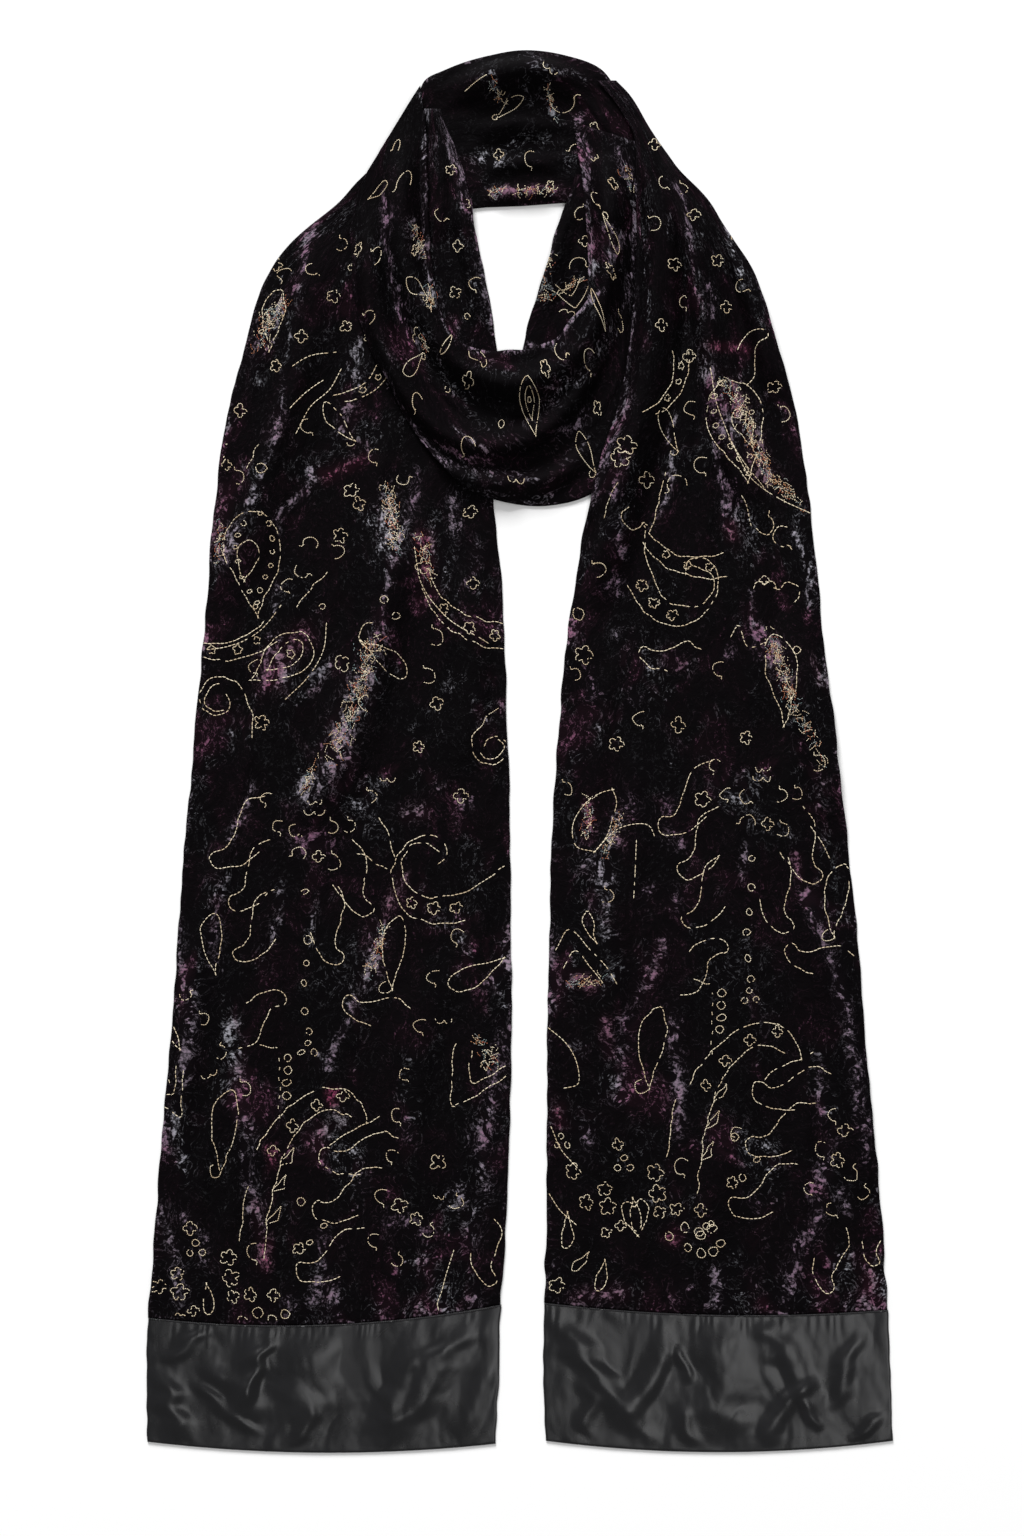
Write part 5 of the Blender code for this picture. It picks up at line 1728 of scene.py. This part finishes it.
def stitch_tree(name):
    """Geometry Nodes that lay stitches along curves."""
    tree = bpy.data.node_groups.new(name, "GeometryNodeTree")
    tree.interface.new_socket("Geometry", in_out="INPUT", socket_type="NodeSocketGeometry")
    for label, kind in (("Pitch", "NodeSocketFloat"), ("Length", "NodeSocketFloat"),
                        ("Thickness", "NodeSocketFloat"), ("Seed", "NodeSocketInt"),
                        ("Thread", "NodeSocketMaterial")):
        tree.interface.new_socket(label, in_out="INPUT", socket_type=kind)
    tree.interface.new_socket("Geometry", in_out="OUTPUT", socket_type="NodeSocketGeometry")
    nodes = tree.nodes
    start, end = nodes.new("NodeGroupInput"), nodes.new("NodeGroupOutput")
    resample = nodes.new("GeometryNodeResampleCurve")
    resample.mode = "LENGTH"
    points = nodes.new("GeometryNodeCurveToPoints")
    points.mode = "EVALUATED"
    bead = nodes.new("GeometryNodeMeshIcoSphere")
    bead.inputs["Radius"].default_value = 0.5
    bead.inputs["Subdivisions"].default_value = 1
    place = nodes.new("GeometryNodeInstanceOnPoints")
    size = nodes.new("ShaderNodeCombineXYZ")
    vary = nodes.new("FunctionNodeRandomValue")
    vary.data_type = "FLOAT"
    vary.inputs[2].default_value, vary.inputs[3].default_value = SHORTEST, LONGEST
    sewn = nodes.new("FunctionNodeRandomValue")
    sewn.data_type = "BOOLEAN"
    sewn.inputs["Probability"].default_value = STITCHES_KEPT
    longer = nodes.new("ShaderNodeMath")
    longer.operation = "MULTIPLY"
    real = nodes.new("GeometryNodeRealizeInstances")
    paint = nodes.new("GeometryNodeSetMaterial")
    for giver, given, taker, taken in (
            (start, "Geometry", resample, "Curve"), (start, "Pitch", resample, "Length"),
            (resample, 0, points, 0), (points, "Points", place, "Points"),
            (points, "Rotation", place, "Rotation"), (bead, "Mesh", place, "Instance"),
            (start, "Seed", vary, "Seed"), (start, "Seed", sewn, "Seed"), (sewn, 3, place, "Selection"),
            (start, "Length", longer, 0), (vary, 1, longer, 1), (start, "Thickness", size, "X"),
            (start, "Thickness", size, "Y"), (longer, 0, size, "Z"), (size, 0, place, "Scale"),
            (place, 0, real, 0), (real, 0, paint, 0), (start, "Thread", paint, "Material"),
            (paint, 0, end, 0)):
        tree.links.new(giver.outputs[given], taker.inputs[taken])
    return tree


STITCHES = stitch_tree("stitches_along_lines")


def sew(name, lines, thread, pitch, length, thickness, seed):
    """Turn lines in millimetres into one mesh of stitches."""
    if not lines:
        return None
    data = bpy.data.curves.new(name + "_path", "CURVE")
    data.dimensions = "3D"
    for line in lines:
        spline = data.splines.new("POLY")
        spline.points.add(len(line) - 1)
        moved = (np.asarray(line) - np.array([CENTRE_X, CENTRE_Y, 0.0])) * MM
        spline.points.foreach_set("co", np.hstack([moved, np.ones((len(line), 1))]).ravel())
    path = placed(name + "_path", data)
    modifier = path.modifiers.new("stitches", "NODES")
    modifier.node_group = STITCHES
    wanted = {"Pitch": pitch * MM, "Length": length * MM, "Thickness": thickness * MM,
              "Seed": seed, "Thread": thread}
    for item in STITCHES.interface.items_tree:
        if item.in_out == "INPUT" and item.name in wanted:
            modifier[item.identifier] = wanted[item.name]
    path.update_tag()
    bpy.context.view_layer.update()
    mesh = bpy.data.meshes.new_from_object(path.evaluated_get(bpy.context.evaluated_depsgraph_get()))
    path.modifiers.clear()
    bpy.data.objects.remove(path)
    mesh.name = name
    return placed(name, mesh)


print("stitch tree has", len(STITCHES.nodes), "nodes")

# %% [markdown]
# ## Filled patches
#
# A few motifs are filled with mixed threads, and there the stitches lie loosely in many directions. A table
# gives the middle line of each patch, its half width and how many stitches it has. They are scattered with
# a fixed seed, so every run is the same.

# %% Patches of loose stitches: line in squares, half width in millimetres, number of stitches
Patch = namedtuple("Patch", "line width count")
FLECK_PATCHES = named(Patch, (
    (((28.2, 30.0), (27.0, 32.0), (26.0, 34.6)), 6, 90),
    (((38.6, 48.5), (39.2, 52.0), (39.6, 55.6)), 5, 110),
    (((42.0, 53.4), (42.8, 57.6)), 5, 45),
    (((37.2, 64.0), (35.4, 70.0), (33.2, 75.6)), 7, 190),
    (((31.4, 76.8), (30.0, 79.0)), 5, 30),
    (((22.4, 52), (21.8, 56)), 4, 30),
    (((38.4, 92.4), (36.8, 97.6)), 4, 50),
    (((47.6, 103.6), (49.6, 106.4)), 4, 36),
    (((72.4, 38.0), (74.6, 42.6), (76.6, 47.0), (79.6, 50.2)), 6, 210),
    (((77.0, 63.8), (78.4, 67.4), (79.2, 70.4)), 4.5, 120),
    (((79.2, 70.4), (81.0, 73.4), (82.2, 76.4)), 3.5, 50),
    (((58.9, 79.2), (58.5, 83.6)), 3.5, 36),
    (((61.9, 81.2), (60.4, 85.6)), 3, 36),
    (((57.0, 98.2), (60.0, 98.0)), 4, 30),
    (((41.0, 21.6), (42.2, 26.0)), 3, 34),
    (((42.8, 28.6), (43.2, 31.0)), 3, 22),
    (((42.2, 33.6), (42.8, 35.0)), 2, 14),
    (((54.1, 30.0), (56.0, 29.0), (58.4, 27.8)), 2, 30),
    (((54.4, 29.6), (54.6, 27.4), (55.2, 25.6)), 2, 26),
    (((48.6, 19.4), (52.0, 19.2), (56.0, 18.9)), 3, 44),
    (((49.0, 8.0), (50.4, 10.4)), 3, 18),
    (((54.6, 8.4), (55.6, 12.0)), 2, 22),
    (((62.4, 16.6), (63.0, 19.0)), 3, 16),
))
print("loose stitches:", sum(patch.count for patch in FLECK_PATCHES))

# %% [markdown]
# ## From the charts to the cloth
#
# Each line is looked up on the cloth under it and lifted a tenth of a millimetre. Where another stretch
# covers it, it stops. Large motifs are sewn in long stitches of about 3 mm, flowers and rings in short ones
# of half that, and the loose patches in finer thread.

# %% Carry the charts onto the cloth
EDGE, LIFT = 0.006, 0.10
SHORT_MOTIF, POINT_GAP = 14.0, {"short": 0.6, "long": 1.5}
HAND_SWAY, HAND_SWAY_LENGTH = 1.5, 7.0


def turned(line, size, turn, flip=0):
    """A motif's line at its size, turned and mirrored, in millimetres."""
    a = math.radians(turn)
    x, y = line[:, 0] * size * (-1 if flip else 1), line[:, 1] * size
    return np.stack([x * math.cos(a) - y * math.sin(a), x * math.sin(a) + y * math.cos(a)], axis=1)


def closer(line, gap):
    """The line with points no further apart than the gap."""
    run = np.concatenate([[0], np.cumsum(np.linalg.norm(np.diff(line, axis=0), axis=1))])
    at = np.linspace(0, run[-1], max(2, int(run[-1] / gap) + 1))
    return np.stack([np.interp(at, run, line[:, k]) for k in range(2)], axis=1)


def kept_runs(points, keep):
    """The stretches of a line that are kept."""
    runs, current = [], []
    for point, good in zip(points, keep):
        if good:
            current.append(point)
        elif current:
            runs.append(current)
            current = []
    runs.append(current)
    return [run for run in runs if len(run) > 1]


def laid_on(stretch, plan):
    """The parts of a line of the plan that lie on a stretch and show there."""
    s, u = stretch.seen_from_above(plan[:, 0], plan[:, 1])
    keep = (u > EDGE) & (u < 1 - EDGE) & (s > 0.004) & (s < 0.992)
    for upper in stretch.above:
        keep &= inside_distance(plan[:, 0], plan[:, 1], upper.outline()) < 1.0
    return kept_runs(stretch.on_top(np.clip(s, 0, 1), np.clip(u, 0, 1), LIFT), keep)


def chart_lines(stretch, marks, shift=(0.0, 0.0)):
    """Lines of a chart on a stretch, the long ones and those of small motifs."""
    lines = {"long": [], "short": []}
    for mark in marks:
        at = in_plan([(mark.x + shift[0], mark.y + shift[1])])
        for line in MOTIFS[mark.motif]():
            drawn = turned(line, mark.size, mark.turn, mark.flip)
            kind = "short" if np.ptp(drawn, axis=0).max() < SHORT_MOTIF else "long"
            drawn = closer(drawn, POINT_GAP[kind]) + at
            x, y = drawn.T
            sway = np.stack([waver(x + y, HAND_SWAY_LENGTH, 2.0 + mark.x),
                             waver(x - y, HAND_SWAY_LENGTH, 5.0 + mark.y)], axis=1)
            lines[kind] += laid_on(stretch, drawn + HAND_SWAY * sway)
    return lines


def spot_lines(stretch, spots):
    """Lines of small motifs given in the stretch's own measure."""
    lines = []
    for spot in spots:
        for line in MOTIFS[spot.motif]():
            flat = closer(turned(line, spot.size, spot.turn), POINT_GAP["short"])
            s = spot.along + flat[:, 1] / stretch.length
            u = spot.across + flat[:, 0] / stretch.width
            keep = (u > EDGE) & (u < 1 - EDGE) & (s > 0.01) & (s < 0.99)
            points = stretch.on_top(np.clip(s, 0, 1), np.clip(u, 0, 1), LIFT)
            for upper in stretch.above:
                keep &= inside_distance(points[:, 0], points[:, 1], upper.outline()) < 1.0
            lines += kept_runs(points, keep)
    return lines


def fleck_lines(stretch, patches, seed):
    """Short loose stitches scattered round each patch's line."""
    dice = np.random.default_rng(seed)
    lines = []
    for patch in patches:
        line = through(in_plan(patch.line), np.linspace(0, 1, 20))
        for _ in range(patch.count):
            t = dice.uniform(0, len(line) - 1.001)
            step = line[int(t) + 1] - line[int(t)]
            at = line[int(t)] + step * (t % 1) + dice.normal(0, 0.5 * patch.width, 2)
            a = math.atan2(step[1], step[0]) + dice.normal(0, 0.8)
            reach = dice.uniform(0.9, 2.4)
            bend = dice.normal(0, 0.5, 2)
            tip = np.array([math.cos(a), math.sin(a)]) * reach
            lines += laid_on(stretch, np.array([at - tip, at + bend, at + tip]))
    return lines


def joined(*groups):
    """Several sets of lines as one."""
    return {kind: sum((group[kind] for group in groups), []) for kind in ("long", "short")}


REPEATS = ((FAN_CHART, FAN_SHIFT), (MIDDLE_CHART, MIDDLE_SHIFT), (STEM_CHART, STEM_SHIFT),
           (GARDEN_CHART, GARDEN_SHIFT))
left_drawing = joined(*[chart_lines(tail_left, chart) for chart, _ in REPEATS],
                      chart_lines(tail_left, LEFT_CHART))
right_drawing = joined(*[chart_lines(tail_right, chart, shift) for chart, shift in REPEATS],
                       chart_lines(tail_right, RIGHT_CHART))
for stretch, drawing, extra in ((tail_left, left_drawing, LEFT_LINES),
                                (tail_right, right_drawing, RIGHT_LINES)):
    for line in extra:
        smooth = through(in_plan(line), np.linspace(0, 1, 24))
        drawing["long"] += laid_on(stretch, closer(smooth, POINT_GAP["long"]))
drawings = {"tail_left": left_drawing, "tail_right": right_drawing}
for stretch, spots in ((cowl, COWL_SPOTS), (neck_back, NECK_SPOTS), (neck_side, SIDE_SPOTS)):
    drawings[stretch.name] = {"long": [], "short": spot_lines(stretch, spots)}

LONG_STITCH = {"pitch": 2.7, "length": 3.0, "thickness": 0.56}
SHORT_STITCH = {"pitch": 1.25, "length": 1.45, "thickness": 0.52}
LOOSE_STITCH = {"pitch": 1.2, "length": 1.3, "thickness": 0.40}
SEAM_STITCH = {"pitch": 1.3, "length": 2.2, "thickness": 1.5}
SEEDS = {"lines": 0, "flowers": 20, "flecks": 40, "seams": 60, "patches": 70}
SEAM_POINTS, SEAM_PLACE, SEAM_END = 90, 0.6, 0.004
gold = {}
for number, stretch in enumerate([tail_left, tail_right, cowl, neck_back, neck_side]):
    name = stretch.name
    flecks = fleck_lines(stretch, FLECK_PATCHES, SEEDS["patches"] + number)
    shares = {"gold": flecks[0::2], "rust": flecks[1::4], "teal": flecks[3::4]}
    gold[name] = [sew(name + "_gold_lines", drawings[name]["long"], gold_thread, **LONG_STITCH,
                      seed=SEEDS["lines"] + number),
                  sew(name + "_gold_flowers", drawings[name]["short"], gold_thread, **SHORT_STITCH,
                      seed=SEEDS["flowers"] + number)]
    for shade, thread in (("gold", gold_thread), ("rust", rust_thread), ("teal", teal_thread)):
        gold[name].append(sew(name + "_" + shade + "_flecks", shares[shade], thread, **LOOSE_STITCH,
                              seed=SEEDS["flecks"] + number))
    gold[name] = [item for item in gold[name] if item]
    print(name, [(item.name, len(item.data.polygons)) for item in gold[name]])
for number, stretch in enumerate([band_left, band_right]):
    across = np.linspace(SEAM_END, 1 - SEAM_END, SEAM_POINTS)
    seam = stretch.on_top(np.full(SEAM_POINTS, SEAM_PLACE / stretch.length), across, 0.0)
    gold[stretch.name] = [sew(stretch.name + "_seam", [seam], seam_thread, **SEAM_STITCH,
                              seed=SEEDS["seams"] + number)]
    print(stretch.name, "seam faces", len(gold[stretch.name][0].data.polygons))

# %% [markdown]
# ## Floor, light and camera
#
# The photo was taken from straight above on a white table, with a broad soft light from the top left and
# plenty of fill. A long lens keeps the edges upright.

# %% Floor and light
FLOOR_Z, FLOOR_REACH = -0.05, 6.0


def plain_floor():
    """A wide white table top."""
    mesh = bpy.data.meshes.new("table_top")
    corners = [(x * FLOOR_REACH, y * FLOOR_REACH, FLOOR_Z * MM)
               for x, y in ((-1, -1), (1, -1), (1, 1), (-1, 1))]
    mesh.from_pydata(corners, [], [(0, 1, 2, 3)])
    f = Finish("white_table")
    mesh.materials.append(f.finish(f.node("ShaderNodeBsdfPrincipled", None, {
        "Base Color": (0.93, 0.93, 0.93, 1), "Roughness": 0.9, "Specular IOR Level": 0.1})))
    return placed("table_top", mesh)


def soft_light(name, place, size, power):
    """A square soft box aimed at the middle of the table."""
    data = bpy.data.lights.new(name, "AREA")
    data.shape, data.size, data.energy = "SQUARE", size, power
    made = placed(name, data)
    made.location = place
    made.rotation_euler = (-Vector(place)).to_track_quat("-Z", "Y").to_euler()


floor = plain_floor()
soft_light("key", (-1.8, 7.2, 4.0), 3.0, 960)
soft_light("fill", (1.7, -0.3, 6.0), 2.6, 78)
world = bpy.data.worlds.new("studio")
world.use_nodes = True
around = world.node_tree.nodes["Background"]
around.inputs["Color"].default_value = (1, 1, 1, 1)
around.inputs["Strength"].default_value = 0.35
bpy.context.scene.world = world
bpy.context.scene.view_settings.view_transform = "Standard"

# %% Camera
FRAME_HEIGHT = 983.0
VIEW_X, VIEW_Y = -4.8, -11.5
CAMERA_HEIGHT, SENSOR = 3.6, 36.0

lens = bpy.data.cameras.new("from_above")
lens.sensor_fit = "VERTICAL"
lens.sensor_height = SENSOR
lens.lens = SENSOR * CAMERA_HEIGHT / (FRAME_HEIGHT * MM)
lens.clip_end = 50.0
camera = placed("from_above", lens)
camera.location = (VIEW_X * MM, VIEW_Y * MM, CAMERA_HEIGHT)
bpy.context.scene.camera = camera
print("lens", round(lens.lens), "mm")

# %% [markdown]
# ## What each piece stands for
#
# Every shell replaces its solid, takes its slot and is declared as a sheet with the cut of what shows: its
# mean width, and the length that gives the same area. Every shell replaces its solid, which is hidden, and
# joins the root body. The threads go with the cloth that they are sewn to. The solid hidden_layers is out
# of sight in the cowl and only takes the dark velvet.

for stretch in stretches:
    piece = cloths[stretch.name]
    extra = gold.get(stretch.name, [])
    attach(piece, "root")
    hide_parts(stretch.name)
    for item in extra:
        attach(item, "root")
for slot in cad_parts["hidden_layers"].material_slots:
    slot.material = velvet_inner
print("declared", len(stretches), "sheets")
